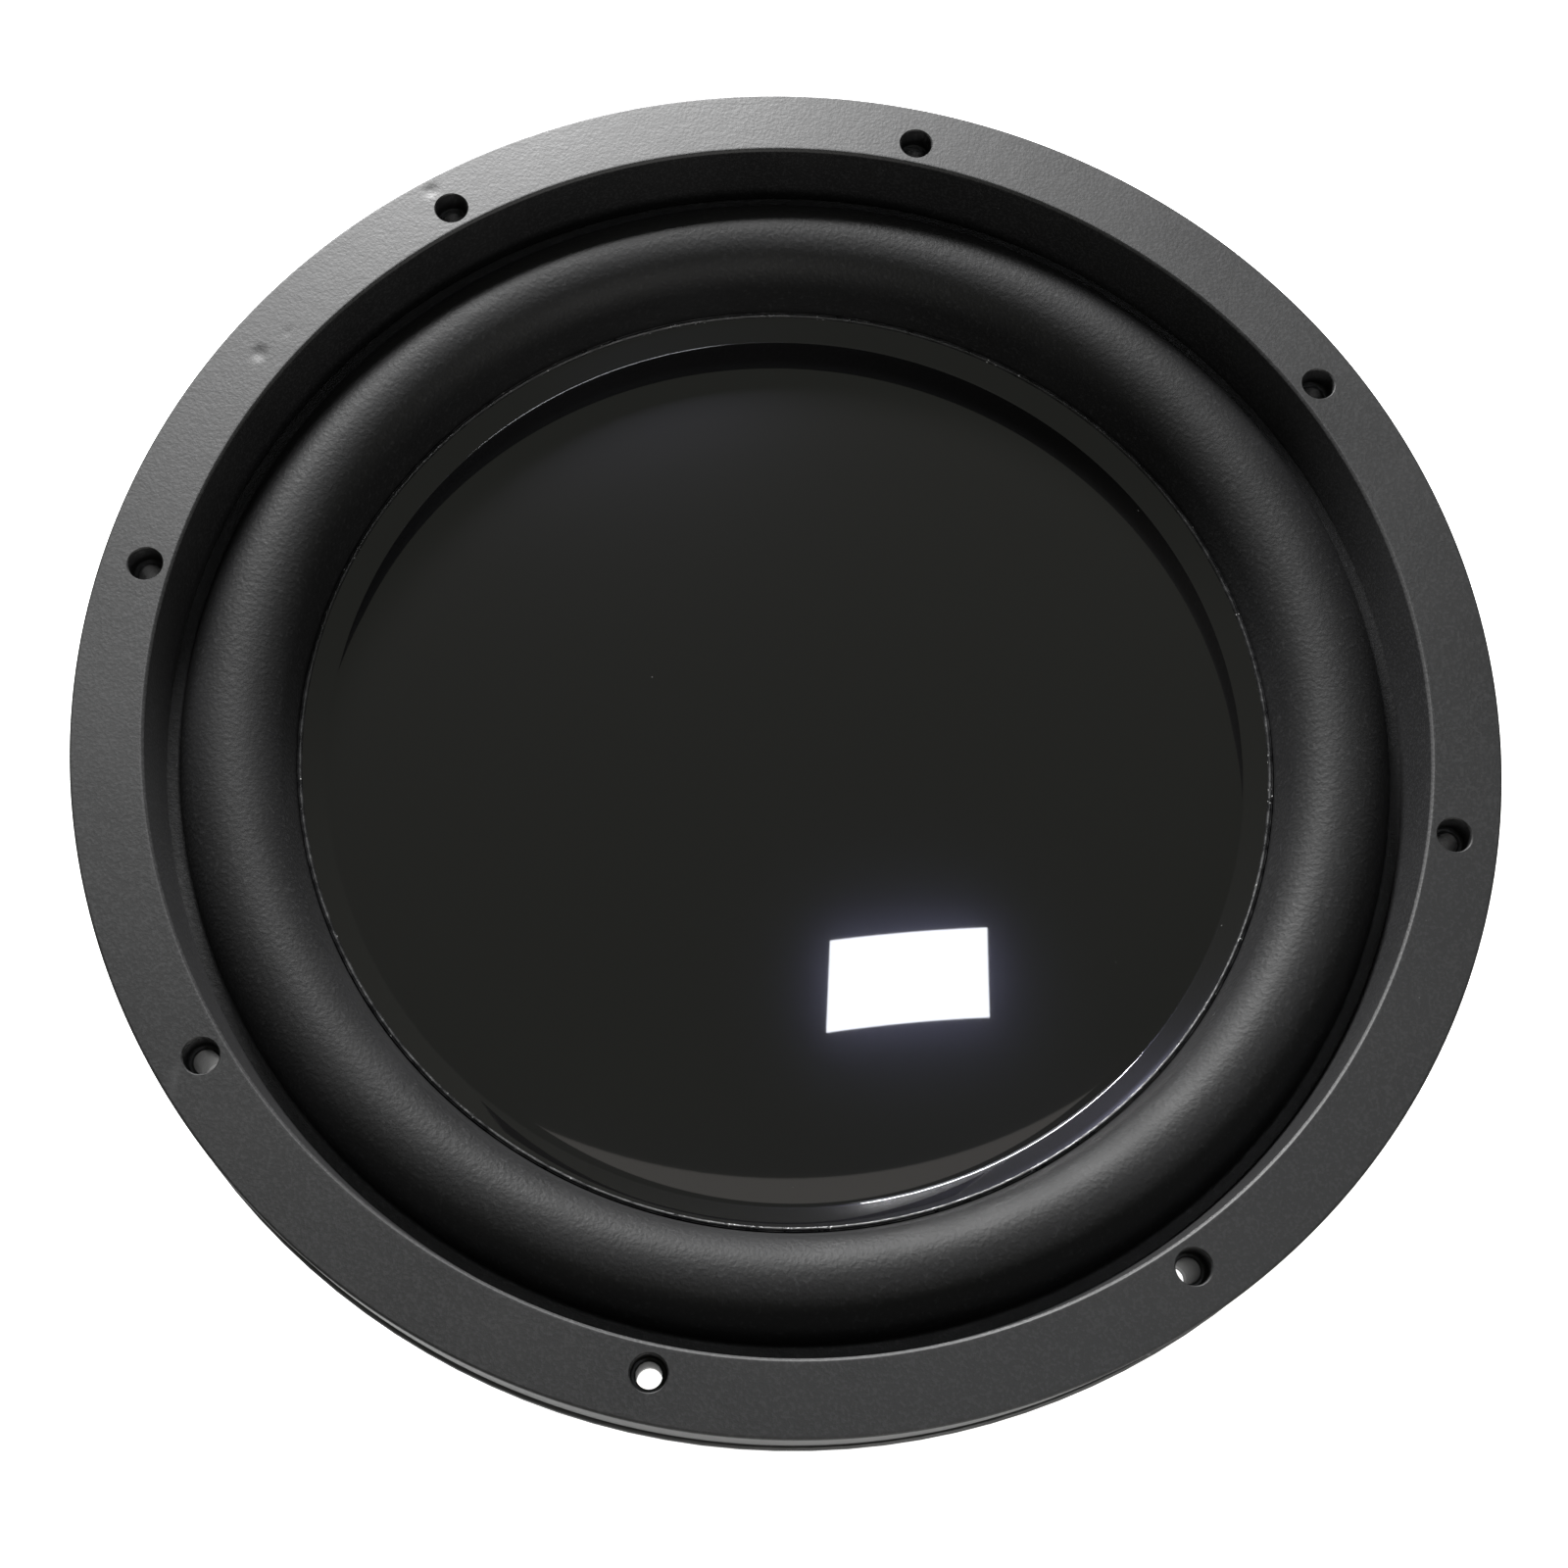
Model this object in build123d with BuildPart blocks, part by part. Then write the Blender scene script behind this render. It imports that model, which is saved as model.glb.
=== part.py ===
from build123d import *
import os
from math import cos, radians, sin, sqrt, tan

os.makedirs("parts", exist_ok=True)

# A 12-inch class car subwoofer. Millimetres. The origin is the centre of the bolt circle on the rear face
# of the mounting flange, and +Z points out of the front, towards the listener.

# ---- Mounting flange and trim ring
FLANGE_R = 160.0
FLANGE_T = 3.0
BOLT_CIRCLE_R = 149.0
BOLT_HOLE_R = 2.75
BOLT_COUNT = 8
TRIM_R = 159.0
TRIM_TOP = 23.5
TRIM_BORE_TOP_R = 143.0
TRIM_BORE_LOW_R = 141.8
SCREW_RECESS_R = 3.85
SCREW_RECESS_DEPTH = 6.4
EDGE_ROUND = 0.8

# ---- Surround: a half roll between the outer lip on the flange and the inner lip on the cone edge
LIP_T = 1.5
LIP_OUTER_R = 145.0
ROLL_CENTRE_R = 127.3
ROLL_CENTRE_Z = 2.7
ROLL_R = 11.7
FLANK_ANGLE = 10.0
JUNCTION_R = 114.06
JUNCTION_Z = -5.0
SURROUND_LIP_END_R = 106.0
SURROUND_LIP_T = 1.3

# ---- Dust cap: a shallow dome with a raised rim outside a sharp crease
CREASE_R = 108.1
CREASE_Z = -7.3
RIM_RISE = 0.375
RIM_OUTER_R = 113.4
DOME_R = 500.0
CAP_T = 2.0
RIM_T = 1.7
GLUE_GAP = 0.15

# ---- Cone
CONE_EDGE_R = 114.8
CONE_SHOULDER_R = 103.5
CONE_T = 1.6
NECK_R = 32.6
NECK_T = 1.6
NECK_TOP_Z = -61.4
NECK_LOW_Z = -67.0
COLLAR_R = 34.3
COLLAR_T = 2.0
COLLAR_LOW_Z = -66.8
COLLAR_H = 3.0

# ---- Voice coil
FORMER_R = 32.0
FORMER_T = 0.35
FORMER_TOP_Z = -57.0
FORMER_LOW_Z = -122.0
WINDING_T = 0.95
WINDING_GAP = 0.05
COIL_LENGTH = 32.0

# ---- Spider
SPIDER_Z = -74.1
SPIDER_T = 0.8
SPIDER_R = 78.0
ROLL_PITCH = 4.0
ROLL_COUNT = 9
ROLL_HEIGHT = 1.2
SPIDER_ROLL_START_R = 33.8
SPIDER_NECK_T = 1.0
SPIDER_NECK_HALF = 3.5

# ---- Basket below the flange
WALL_R = 140.5
WALL_T = 3.0
WALL_DEPTH = 14.0
SPOKE_COUNT = 6
SPOKE_FIRST_ANGLE = 30.0
SPOKE_W = 16.0
RIB_W = 5.0
LANDING_R = 70.0
LANDING_T = 3.0
RIM_IN_R = 80.0
RIM_R = 84.0
RIM_TOP_Z = -66.0
RIM_LOW_Z = -80.0
SPOKE_ROOT_Z = -6.0
SPOKE_KNEE_R = 118.0
SPOKE_KNEE_Z = -34.0
SPOKE_OUT = 4.0
SPOKE_DROP = 3.0
SPOKE_FOOT_R = 82.0
SPOKE_FOOT_Z = -69.0
SPOKE_FOOT_H = 7.0
RIB_ROOT_Z = -8.0
RIB_OUT = 8.0
RIB_DROP = 6.0
RIB_ROOT_DROP = 10.0
SEAT_TOP_Z = -92.0
SEAT_R = 72.0
SEAT_T = 4.0
SEAT_BORE_R = 40.0
VENT_START_R = 55.0
VENT_Z = -87.0
VENT_W = 34.0
VENT_H = 8.0

# ---- Motor
TOP_PLATE_Z = -96.0
TOP_PLATE_T = 10.0
PLATE_R = 82.0
GAP_R = 35.1
MAGNET_R = 90.0
MAGNET_BORE_R = 45.0
MAGNET_T = 18.0
BACK_PLATE_T = 10.0
POLE_R = 31.4
POLE_NECK_R = 30.6
POLE_TOP_Z = -94.0
SLEEVE_T = 0.7
SLEEVE_LENGTH = 19.0
VENT_R = 11.0
SCREEN_SEAT_R = 15.0
SCREEN_SEAT_DEPTH = 4.0
SHORTING_RING_T = 14.0
BOOT_T = 3.0
BOOT_LIP_T = 1.4
BOOT_LIP_R = 76.0
MOTOR_BOLT_R = 54.0
MOTOR_BOLT_SHANK_R = 2.85
MOTOR_BOLT_HEAD_R = 5.0
MOTOR_BOLT_HEAD_H = 6.0
MOTOR_BOLT_LENGTH = 13.0
HEX_SOCKET_R = 2.9
HEX_SOCKET_DEPTH = 3.5
BOLT_PLAY = 0.45
THREAD_PLAY = 0.1

# ---- Terminals: one block each side, with a red and a black push button that face the rear
BLOCK_X = 97.0
BLOCK_DEPTH = 22.0
BLOCK_W = 34.0
BLOCK_LOW_Z = -84.0
BLOCK_TOP_Z = -58.0
POST_Y = 8.5
CAVITY = 12.0
CAVITY_TOP_Z = -62.0
BUTTON = 11.2
BUTTON_LOW_Z = -88.0
BUTTON_TOP_Z = -76.0
WIRE_HOLE_R = 3.1
WIRE_HOLE_Z = -67.0
EAR_W = 50.0
EAR_T = 3.0
EAR_H = 14.0
EAR_Z = -71.0
EAR_HOLE_Y = 21.2
PAD_FACE_X = 86.0
PAD_DEPTH = 16.0
PAD_W = 52.0
PAD_LOW_Z = -79.0
PAD_TOP_Z = -62.0
SCREW_SHANK_R = 1.85
SCREW_HEAD_R = 3.8
SCREW_HEAD_T = 2.4
SCREW_LENGTH = 10.0
SCREW_SLOT_L = 4.0
SCREW_SLOT_W = 0.9
SCREW_SLOT_DEPTH = 1.3
BLADE_X = 1.3
BLADE_T = 2.0
BLADE_W = 9.0
BLADE_TOP_Z = -65.5
EYE_R = 3.0
EYE_Z = -70.0
SPRING_R = 2.35
SPRING_BORE_R = 1.65
SPRING_X = -3.2
CONTACT_T = 0.8
CONTACT_W = 5.0
CONTACT_RISE = 1.3
CONTACT_GAP = 0.1
CONTACT_SLOT_X = -5.0
CONTACT_TAB_X = -16.0
CONTACT_LOW_Z = -72.4
LEAD_R = 1.0
# One lead's route from its solder tab to the cone's neck: outwards, sideways and height.
LEAD_ROUTE = [
    (85.0, 8.5, -59.6),
    (73.0, 8.6, -57.2),
    (60.5, 8.2, -60.6),
    (49.0, 7.5, -66.2),
    (37.0, 6.8, -66.4),
]
SIDES = {"right": 0, "left": 180}
POSTS = {"red": 1, "black": -1}

# ---- Heights that follow from the stack
BACK_PLATE_Z = TOP_PLATE_Z - TOP_PLATE_T - 2 * MAGNET_T
REAR_Z = BACK_PLATE_Z - BACK_PLATE_T
COIL_CENTRE_Z = TOP_PLATE_Z - TOP_PLATE_T / 2


def rim_z(radius, drop):
    """Height of the sloping glue joint at the cone's edge, a given drop below the cap's rim."""
    return CREASE_Z + (radius - CREASE_R) * RIM_RISE - drop


def dome_z(radius, ball, apex):
    """Height of a shallow dome of radius ball whose apex is at the given height."""
    return apex - ball + sqrt(ball**2 - radius**2)


def radial_plane(angle):
    """Upright plane through the speaker's axis: its x runs outwards and its y runs up."""
    a = radians(angle)
    return Plane(origin=(0, 0, 0), x_dir=(cos(a), sin(a), 0), z_dir=(sin(a), -cos(a), 0))


def tangent_plane(angle, radius, height):
    """Plane facing outwards at the given angle, radius and height."""
    a = radians(angle)
    place = (radius * cos(a), radius * sin(a), height)
    return Plane(origin=place, x_dir=(-sin(a), cos(a), 0), z_dir=(cos(a), sin(a), 0))


def block_plane(angle, height):
    """Level plane at the terminal block on the side at the given angle: its x runs outwards."""
    a = radians(angle)
    return Plane(origin=(BLOCK_X * cos(a), BLOCK_X * sin(a), height), x_dir=(cos(a), sin(a), 0))


def block_section(angle, across):
    """Upright plane through a terminal block, across mm from its middle: x runs outwards and y up."""
    a = radians(angle)
    place = (BLOCK_X * cos(a) - across * sin(a), BLOCK_X * sin(a) + across * cos(a), 0)
    return Plane(origin=place, x_dir=(cos(a), sin(a), 0), z_dir=(sin(a), -cos(a), 0))


def corner_radii(points):
    """The largest arc that each corner of a route has room for: 0.45 of its shorter run."""
    radii = []
    for before, here, after in zip(points, points[1:], points[2:]):
        run_in = Vector(*here) - Vector(*before)
        run_out = Vector(*after) - Vector(*here)
        half_turn = radians(run_in.get_angle(run_out) / 2)
        radii.append(0.45 * min(run_in.length, run_out.length) / tan(half_turn))
    return radii


def save(piece, label):
    piece.part.label = label
    export_step(piece.part, f"parts/{label}.step")


# ---- Basket: flange, short wall, six ribbed spokes, spider landing, motor seat and two terminal pads
with BuildPart() as basket:
    with BuildSketch(Plane.XZ):
        Polygon(
            (WALL_R - WALL_T, FLANGE_T),
            (FLANGE_R, FLANGE_T),
            (FLANGE_R, 0),
            (WALL_R, 0),
            (WALL_R, -WALL_DEPTH),
            (WALL_R - WALL_T, -WALL_DEPTH),
            align=None,
        )
    revolve(axis=Axis.Z)
    fillet(basket.edges().filter_by(GeomType.CIRCLE).sort_by(SortBy.RADIUS)[-2:], EDGE_ROUND)
    with BuildSketch(Plane.XZ):
        Polygon(
            (RIM_IN_R, RIM_TOP_Z),
            (RIM_R, RIM_TOP_Z),
            (RIM_R, RIM_LOW_Z),
            (SEAT_R, TOP_PLATE_Z),
            (SEAT_BORE_R, TOP_PLATE_Z),
            (SEAT_BORE_R, SEAT_TOP_Z),
            (SEAT_R - SEAT_T, SEAT_TOP_Z),
            (RIM_IN_R - 1.5, SPIDER_Z - LANDING_T),
            (LANDING_R, SPIDER_Z - LANDING_T),
            (LANDING_R, SPIDER_Z),
            (RIM_IN_R, SPIDER_Z),
            align=None,
        )
    revolve(axis=Axis.Z)
    for spoke in range(SPOKE_COUNT):
        spoke_side = radial_plane(SPOKE_FIRST_ANGLE + 360 / SPOKE_COUNT * spoke)
        with BuildSketch(spoke_side):
            Polygon(
                (WALL_R - WALL_T, SPOKE_ROOT_Z),
                (WALL_R - WALL_T, -WALL_DEPTH),
                (SPOKE_KNEE_R, SPOKE_KNEE_Z),
                (SPOKE_FOOT_R, SPOKE_FOOT_Z),
                (SPOKE_FOOT_R, SPOKE_FOOT_Z - SPOKE_FOOT_H),
                (SPOKE_FOOT_R + SPOKE_OUT, SPOKE_FOOT_Z - SPOKE_FOOT_H + SPOKE_DROP),
                (SPOKE_KNEE_R + SPOKE_OUT, SPOKE_KNEE_Z - SPOKE_DROP),
                (WALL_R, -WALL_DEPTH - SPOKE_DROP),
                (WALL_R, SPOKE_ROOT_Z),
                align=None,
            )
        extrude(amount=SPOKE_W / 2, both=True)
        # The stiffening rib along the spoke's outer side.
        with BuildSketch(spoke_side):
            Polygon(
                (WALL_R - WALL_T / 2, RIB_ROOT_Z),
                (WALL_R - WALL_T / 2, -WALL_DEPTH),
                (SPOKE_KNEE_R + SPOKE_OUT / 2, SPOKE_KNEE_Z - SPOKE_DROP / 2),
                (SPOKE_FOOT_R, SPOKE_FOOT_Z - SPOKE_FOOT_H / 2),
                (SPOKE_FOOT_R, SPOKE_FOOT_Z - 2 * SPOKE_FOOT_H),
                (SPOKE_FOOT_R + RIB_OUT, SPOKE_FOOT_Z - 2 * SPOKE_FOOT_H + RIB_DROP / 2),
                (SPOKE_KNEE_R + RIB_OUT, SPOKE_KNEE_Z - RIB_DROP),
                (WALL_R, -WALL_DEPTH - RIB_ROOT_DROP),
                (WALL_R, RIB_ROOT_Z),
                align=None,
            )
        extrude(amount=RIB_W / 2, both=True)
    for angle in SIDES.values():
        with BuildSketch(block_plane(angle, PAD_LOW_Z)):
            with Locations((PAD_FACE_X - BLOCK_X - PAD_DEPTH / 2, 0)):
                Rectangle(PAD_DEPTH, PAD_W)
            with Locations((-BLOCK_X, 0)):
                Circle(RIM_IN_R + 1.5, mode=Mode.SUBTRACT)
        extrude(amount=PAD_TOP_Z - PAD_LOW_Z)
        with BuildSketch(tangent_plane(angle, PAD_FACE_X, EAR_Z)):
            with Locations((EAR_HOLE_Y, 0), (-EAR_HOLE_Y, 0)):
                Circle(SCREW_SHANK_R + 0.1)
        extrude(amount=-PAD_DEPTH, mode=Mode.SUBTRACT)
    for vent in range(SPOKE_COUNT):
        with BuildSketch(tangent_plane(360 / SPOKE_COUNT * vent, VENT_START_R, VENT_Z)):
            SlotOverall(VENT_W, VENT_H)
        extrude(amount=RIM_R - VENT_START_R, mode=Mode.SUBTRACT)
    with Locations((0, 0, FLANGE_T)):
        with PolarLocations(BOLT_CIRCLE_R, BOLT_COUNT):
            Hole(BOLT_HOLE_R, depth=FLANGE_T)
    with Locations((0, 0, SEAT_TOP_Z)):
        with PolarLocations(MOTOR_BOLT_R, SPOKE_COUNT):
            Hole(MOTOR_BOLT_SHANK_R + BOLT_PLAY, depth=SEAT_TOP_Z - TOP_PLATE_Z)
save(basket, "basket")

# ---- Trim ring: stands on the flange, clamps the surround's lip and sinks the screw heads
with BuildPart() as trim_ring:
    with BuildSketch(Plane.XZ):
        Polygon(
            (TRIM_BORE_LOW_R, FLANGE_T + LIP_T + GLUE_GAP),
            (TRIM_BORE_TOP_R, TRIM_TOP),
            (TRIM_R, TRIM_TOP),
            (TRIM_R, FLANGE_T),
            (LIP_OUTER_R + 0.2, FLANGE_T),
            (LIP_OUTER_R + 0.2, FLANGE_T + LIP_T + GLUE_GAP),
            align=None,
        )
    revolve(axis=Axis.Z)
    front_edges = trim_ring.edges().group_by(Axis.Z)[-1].sort_by(SortBy.RADIUS)
    fillet(front_edges[-1], EDGE_ROUND)
    chamfer(front_edges[0], EDGE_ROUND)
    with Locations((0, 0, TRIM_TOP)):
        with PolarLocations(BOLT_CIRCLE_R, BOLT_COUNT):
            CounterBoreHole(BOLT_HOLE_R, SCREW_RECESS_R, SCREW_RECESS_DEPTH, depth=TRIM_TOP - FLANGE_T)
save(trim_ring, "trim_ring")


def on_roll(radius, angle):
    """Point on the surround's roll, at an angle from the outward direction."""
    a = radians(angle)
    return (ROLL_CENTRE_R + radius * cos(a), ROLL_CENTRE_Z + radius * sin(a))


# ---- Surround: outer lip, half roll, steep inner flank and the inner lip between cone and cap
LIP_TOP_Z = FLANGE_T + LIP_T
ROLL_FOOT_ANGLE = 8.84
FLANK_TOP_ANGLE = 180 - FLANK_ANGLE
LIP_FOOT_R = JUNCTION_R - 0.3
with BuildPart() as surround:
    with BuildSketch(Plane.XZ):
        with BuildLine():
            outer_foot = on_roll(ROLL_R, ROLL_FOOT_ANGLE)
            flank_top = on_roll(ROLL_R, FLANK_TOP_ANGLE)
            inner_flank_top = on_roll(ROLL_R - LIP_T, FLANK_TOP_ANGLE)
            inner_foot = on_roll(ROLL_R - LIP_T, ROLL_FOOT_ANGLE / 4)
            flank_low = (LIP_FOOT_R + LIP_T, rim_z(LIP_FOOT_R + LIP_T, RIM_T + GLUE_GAP + SURROUND_LIP_T))
            Line((LIP_OUTER_R, LIP_TOP_Z), outer_foot)
            ThreePointArc(outer_foot, on_roll(ROLL_R, 90), flank_top)
            Polyline(
                flank_top,
                (JUNCTION_R, JUNCTION_Z),
                (LIP_FOOT_R, rim_z(LIP_FOOT_R, RIM_T + GLUE_GAP)),
                (SURROUND_LIP_END_R, rim_z(SURROUND_LIP_END_R, RIM_T + GLUE_GAP)),
                (SURROUND_LIP_END_R, rim_z(SURROUND_LIP_END_R, RIM_T + GLUE_GAP + SURROUND_LIP_T)),
                flank_low,
                inner_flank_top,
            )
            ThreePointArc(inner_flank_top, on_roll(ROLL_R - LIP_T, 90), inner_foot)
            Polyline(
                inner_foot,
                (inner_foot[0], FLANGE_T),
                (LIP_OUTER_R, FLANGE_T),
                (LIP_OUTER_R, LIP_TOP_Z),
            )
        make_face()
    revolve(axis=Axis.Z)
save(surround, "surround")

# ---- Dust cap: shallow dome, sharp crease and raised rim
DOME_APEX_Z = CREASE_Z + DOME_R - sqrt(DOME_R**2 - CREASE_R**2)
with BuildPart() as dust_cap:
    with BuildSketch(Plane.XZ):
        with BuildLine():
            apex = (0, DOME_APEX_Z)
            crease = (CREASE_R, CREASE_Z)
            under_crease = (CREASE_R - 0.6, dome_z(CREASE_R - 0.6, DOME_R - CAP_T, DOME_APEX_Z - CAP_T))
            under_apex = (0, DOME_APEX_Z - CAP_T)
            half = CREASE_R / 2
            ThreePointArc(apex, (half, dome_z(half, DOME_R, DOME_APEX_Z)), crease)
            Polyline(
                crease,
                (RIM_OUTER_R, rim_z(RIM_OUTER_R, 0)),
                (RIM_OUTER_R, rim_z(RIM_OUTER_R, RIM_T)),
                (CREASE_R + 0.6, rim_z(CREASE_R + 0.6, RIM_T)),
                under_crease,
            )
            ThreePointArc(under_crease, (half, dome_z(half, DOME_R - CAP_T, DOME_APEX_Z - CAP_T)), under_apex)
            Line(under_apex, apex)
        make_face()
    revolve(axis=Axis.Z)
save(dust_cap, "dust_cap")

# ---- Glue bead between the cap's rim and the surround's flank
with BuildPart() as cap_glue_bead:
    with BuildSketch(Plane.XZ):
        Polygon(
            (RIM_OUTER_R - 0.7, rim_z(RIM_OUTER_R - 0.7, 0)),
            (RIM_OUTER_R, rim_z(RIM_OUTER_R, 0)),
            (RIM_OUTER_R + 0.5, rim_z(RIM_OUTER_R, 0) + 0.3),
            (RIM_OUTER_R + 0.5, rim_z(RIM_OUTER_R, 0) + 0.7),
            (RIM_OUTER_R, rim_z(RIM_OUTER_R, 0) + 0.6),
            align=None,
        )
    revolve(axis=Axis.Z)
save(cap_glue_bead, "cap_glue_bead")

# ---- Cone: sloping edge under the surround's lip, straight wall and a short neck round the former
EDGE_DROP = RIM_T + SURROUND_LIP_T + 2 * GLUE_GAP
SHOULDER_Z = rim_z(CONE_SHOULDER_R, EDGE_DROP)
with BuildPart() as cone:
    with BuildSketch(Plane.XZ):
        Polygon(
            (NECK_R, NECK_TOP_Z),
            (CONE_SHOULDER_R, SHOULDER_Z),
            (CONE_EDGE_R, rim_z(CONE_EDGE_R, EDGE_DROP)),
            (CONE_EDGE_R, rim_z(CONE_EDGE_R, EDGE_DROP + CONE_T)),
            (CONE_SHOULDER_R + 1, rim_z(CONE_SHOULDER_R + 1, EDGE_DROP + CONE_T)),
            (NECK_R + NECK_T, NECK_TOP_Z - CONE_T),
            (NECK_R + NECK_T, NECK_LOW_Z),
            (NECK_R, NECK_LOW_Z),
            align=None,
        )
    revolve(axis=Axis.Z)
save(cone, "cone")

with BuildPart() as neck_glue_ring:
    with BuildSketch(Plane.XZ):
        Polygon(
            (NECK_R - 0.2, NECK_TOP_Z + 3.9),
            (NECK_R - 0.2, NECK_TOP_Z + 0.1),
            (NECK_R, NECK_TOP_Z + 0.1),
            (NECK_R + 3.9, NECK_TOP_Z + 2.8),
            align=None,
        )
    revolve(axis=Axis.Z)
save(neck_glue_ring, "neck_glue_ring")

# ---- Collar that holds the four leads to the cone's neck
with BuildPart() as lead_anchor_collar:
    with BuildSketch(Plane.XZ):
        Polygon(
            (COLLAR_R, COLLAR_LOW_Z),
            (COLLAR_R + COLLAR_T, COLLAR_LOW_Z),
            (COLLAR_R + COLLAR_T, COLLAR_LOW_Z + COLLAR_H),
            (COLLAR_R, COLLAR_LOW_Z + COLLAR_H),
            align=None,
        )
    revolve(axis=Axis.Z)
save(lead_anchor_collar, "lead_anchor_collar")

# ---- Voice coil: a thin former with two windings, one over the other
with BuildPart() as voice_coil_former:
    with BuildSketch(Plane.XY.offset(FORMER_LOW_Z)):
        Circle(FORMER_R + FORMER_T)
        Circle(FORMER_R, mode=Mode.SUBTRACT)
    extrude(amount=FORMER_TOP_Z - FORMER_LOW_Z)
save(voice_coil_former, "voice_coil_former")

for layer, winding_name in enumerate(("inner_coil_winding", "outer_coil_winding")):
    winding_r = FORMER_R + FORMER_T + WINDING_GAP + layer * (WINDING_T + WINDING_GAP)
    with BuildPart() as winding:
        with BuildSketch(Plane.XY.offset(COIL_CENTRE_Z - COIL_LENGTH / 2)):
            Circle(winding_r + WINDING_T)
            Circle(winding_r, mode=Mode.SUBTRACT)
        extrude(amount=COIL_LENGTH)
    save(winding, winding_name)

# ---- Spider: neck, nine corrugations and a flat edge on the basket's landing
SPIDER_MID_Z = SPIDER_Z + SPIDER_T
with BuildPart() as spider:
    with BuildSketch(Plane.XZ):
        neck_in = FORMER_R + FORMER_T + 0.25
        with BuildLine():
            roll_end = SPIDER_ROLL_START_R + ROLL_COUNT * ROLL_PITCH
            for lower in (0, SPIDER_T):
                for roll in range(ROLL_COUNT):
                    start = SPIDER_ROLL_START_R + roll * ROLL_PITCH
                    rise = ROLL_HEIGHT if roll % 2 else -ROLL_HEIGHT
                    ThreePointArc(
                        (start, SPIDER_MID_Z - lower),
                        (start + ROLL_PITCH / 2, SPIDER_MID_Z - lower + rise),
                        (start + ROLL_PITCH, SPIDER_MID_Z - lower),
                    )
            Polyline(
                (roll_end, SPIDER_MID_Z),
                (SPIDER_R, SPIDER_MID_Z),
                (SPIDER_R, SPIDER_Z),
                (roll_end, SPIDER_Z),
            )
            Polyline(
                (SPIDER_ROLL_START_R, SPIDER_MID_Z),
                (neck_in + SPIDER_NECK_T, SPIDER_MID_Z),
                (neck_in + SPIDER_NECK_T, SPIDER_MID_Z + SPIDER_NECK_HALF),
                (neck_in, SPIDER_MID_Z + SPIDER_NECK_HALF),
                (neck_in, SPIDER_Z - SPIDER_NECK_HALF),
                (neck_in + SPIDER_NECK_T, SPIDER_Z - SPIDER_NECK_HALF),
                (neck_in + SPIDER_NECK_T, SPIDER_Z),
                (SPIDER_ROLL_START_R, SPIDER_Z),
            )
        make_face()
    revolve(axis=Axis.Z)
save(spider, "spider")

# ---- Motor
with BuildPart() as top_plate:
    with BuildSketch(Plane.XY.offset(TOP_PLATE_Z - TOP_PLATE_T)):
        Circle(PLATE_R)
        Circle(GAP_R, mode=Mode.SUBTRACT)
    extrude(amount=TOP_PLATE_T)
    chamfer(top_plate.edges().group_by(Axis.Z)[-1].sort_by(SortBy.RADIUS)[-1], 1)
    with Locations((0, 0, TOP_PLATE_Z)):
        with PolarLocations(MOTOR_BOLT_R, SPOKE_COUNT):
            Hole(MOTOR_BOLT_SHANK_R + THREAD_PLAY, depth=TOP_PLATE_T)
save(top_plate, "top_plate")

for position, magnet_name in enumerate(("front_magnet", "rear_magnet")):
    with BuildPart() as magnet:
        with BuildSketch(Plane.XY.offset(TOP_PLATE_Z - TOP_PLATE_T - (position + 1) * MAGNET_T)):
            Circle(MAGNET_R)
            Circle(MAGNET_BORE_R, mode=Mode.SUBTRACT)
        extrude(amount=MAGNET_T)
    save(magnet, magnet_name)

SLEEVE_TOP_Z = POLE_TOP_Z - 1
SLEEVE_LOW_Z = SLEEVE_TOP_Z - SLEEVE_LENGTH
with BuildPart() as t_yoke:
    with BuildSketch(Plane.XZ):
        Polygon(
            (SCREEN_SEAT_R, REAR_Z),
            (PLATE_R - 2, REAR_Z),
            (PLATE_R, REAR_Z + 2),
            (PLATE_R, BACK_PLATE_Z),
            (POLE_R, BACK_PLATE_Z),
            (POLE_R, SLEEVE_LOW_Z),
            (POLE_NECK_R, SLEEVE_LOW_Z),
            (POLE_NECK_R, POLE_TOP_Z - 1),
            (POLE_NECK_R - 1, POLE_TOP_Z),
            (VENT_R, POLE_TOP_Z),
            (VENT_R, REAR_Z + SCREEN_SEAT_DEPTH),
            (SCREEN_SEAT_R, REAR_Z + SCREEN_SEAT_DEPTH),
            align=None,
        )
    revolve(axis=Axis.Z)
save(t_yoke, "t_yoke")

with BuildPart() as copper_pole_sleeve:
    with BuildSketch(Plane.XY.offset(SLEEVE_LOW_Z)):
        Circle(POLE_NECK_R + 0.1 + SLEEVE_T)
        Circle(POLE_NECK_R + 0.1, mode=Mode.SUBTRACT)
    extrude(amount=SLEEVE_LENGTH - 0.1)
save(copper_pole_sleeve, "copper_pole_sleeve")

with BuildPart() as shorting_ring:
    with BuildSketch(Plane.XY.offset(BACK_PLATE_Z)):
        Circle(MAGNET_BORE_R - 0.4)
        Circle(GAP_R + 0.9, mode=Mode.SUBTRACT)
    extrude(amount=SHORTING_RING_T)
save(shorting_ring, "shorting_ring")

with BuildPart() as vent_screen:
    with BuildSketch(Plane.XY.offset(REAR_Z + SCREEN_SEAT_DEPTH - 1)):
        Circle(SCREEN_SEAT_R - 0.2)
    extrude(amount=0.9)
save(vent_screen, "vent_screen")

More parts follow.
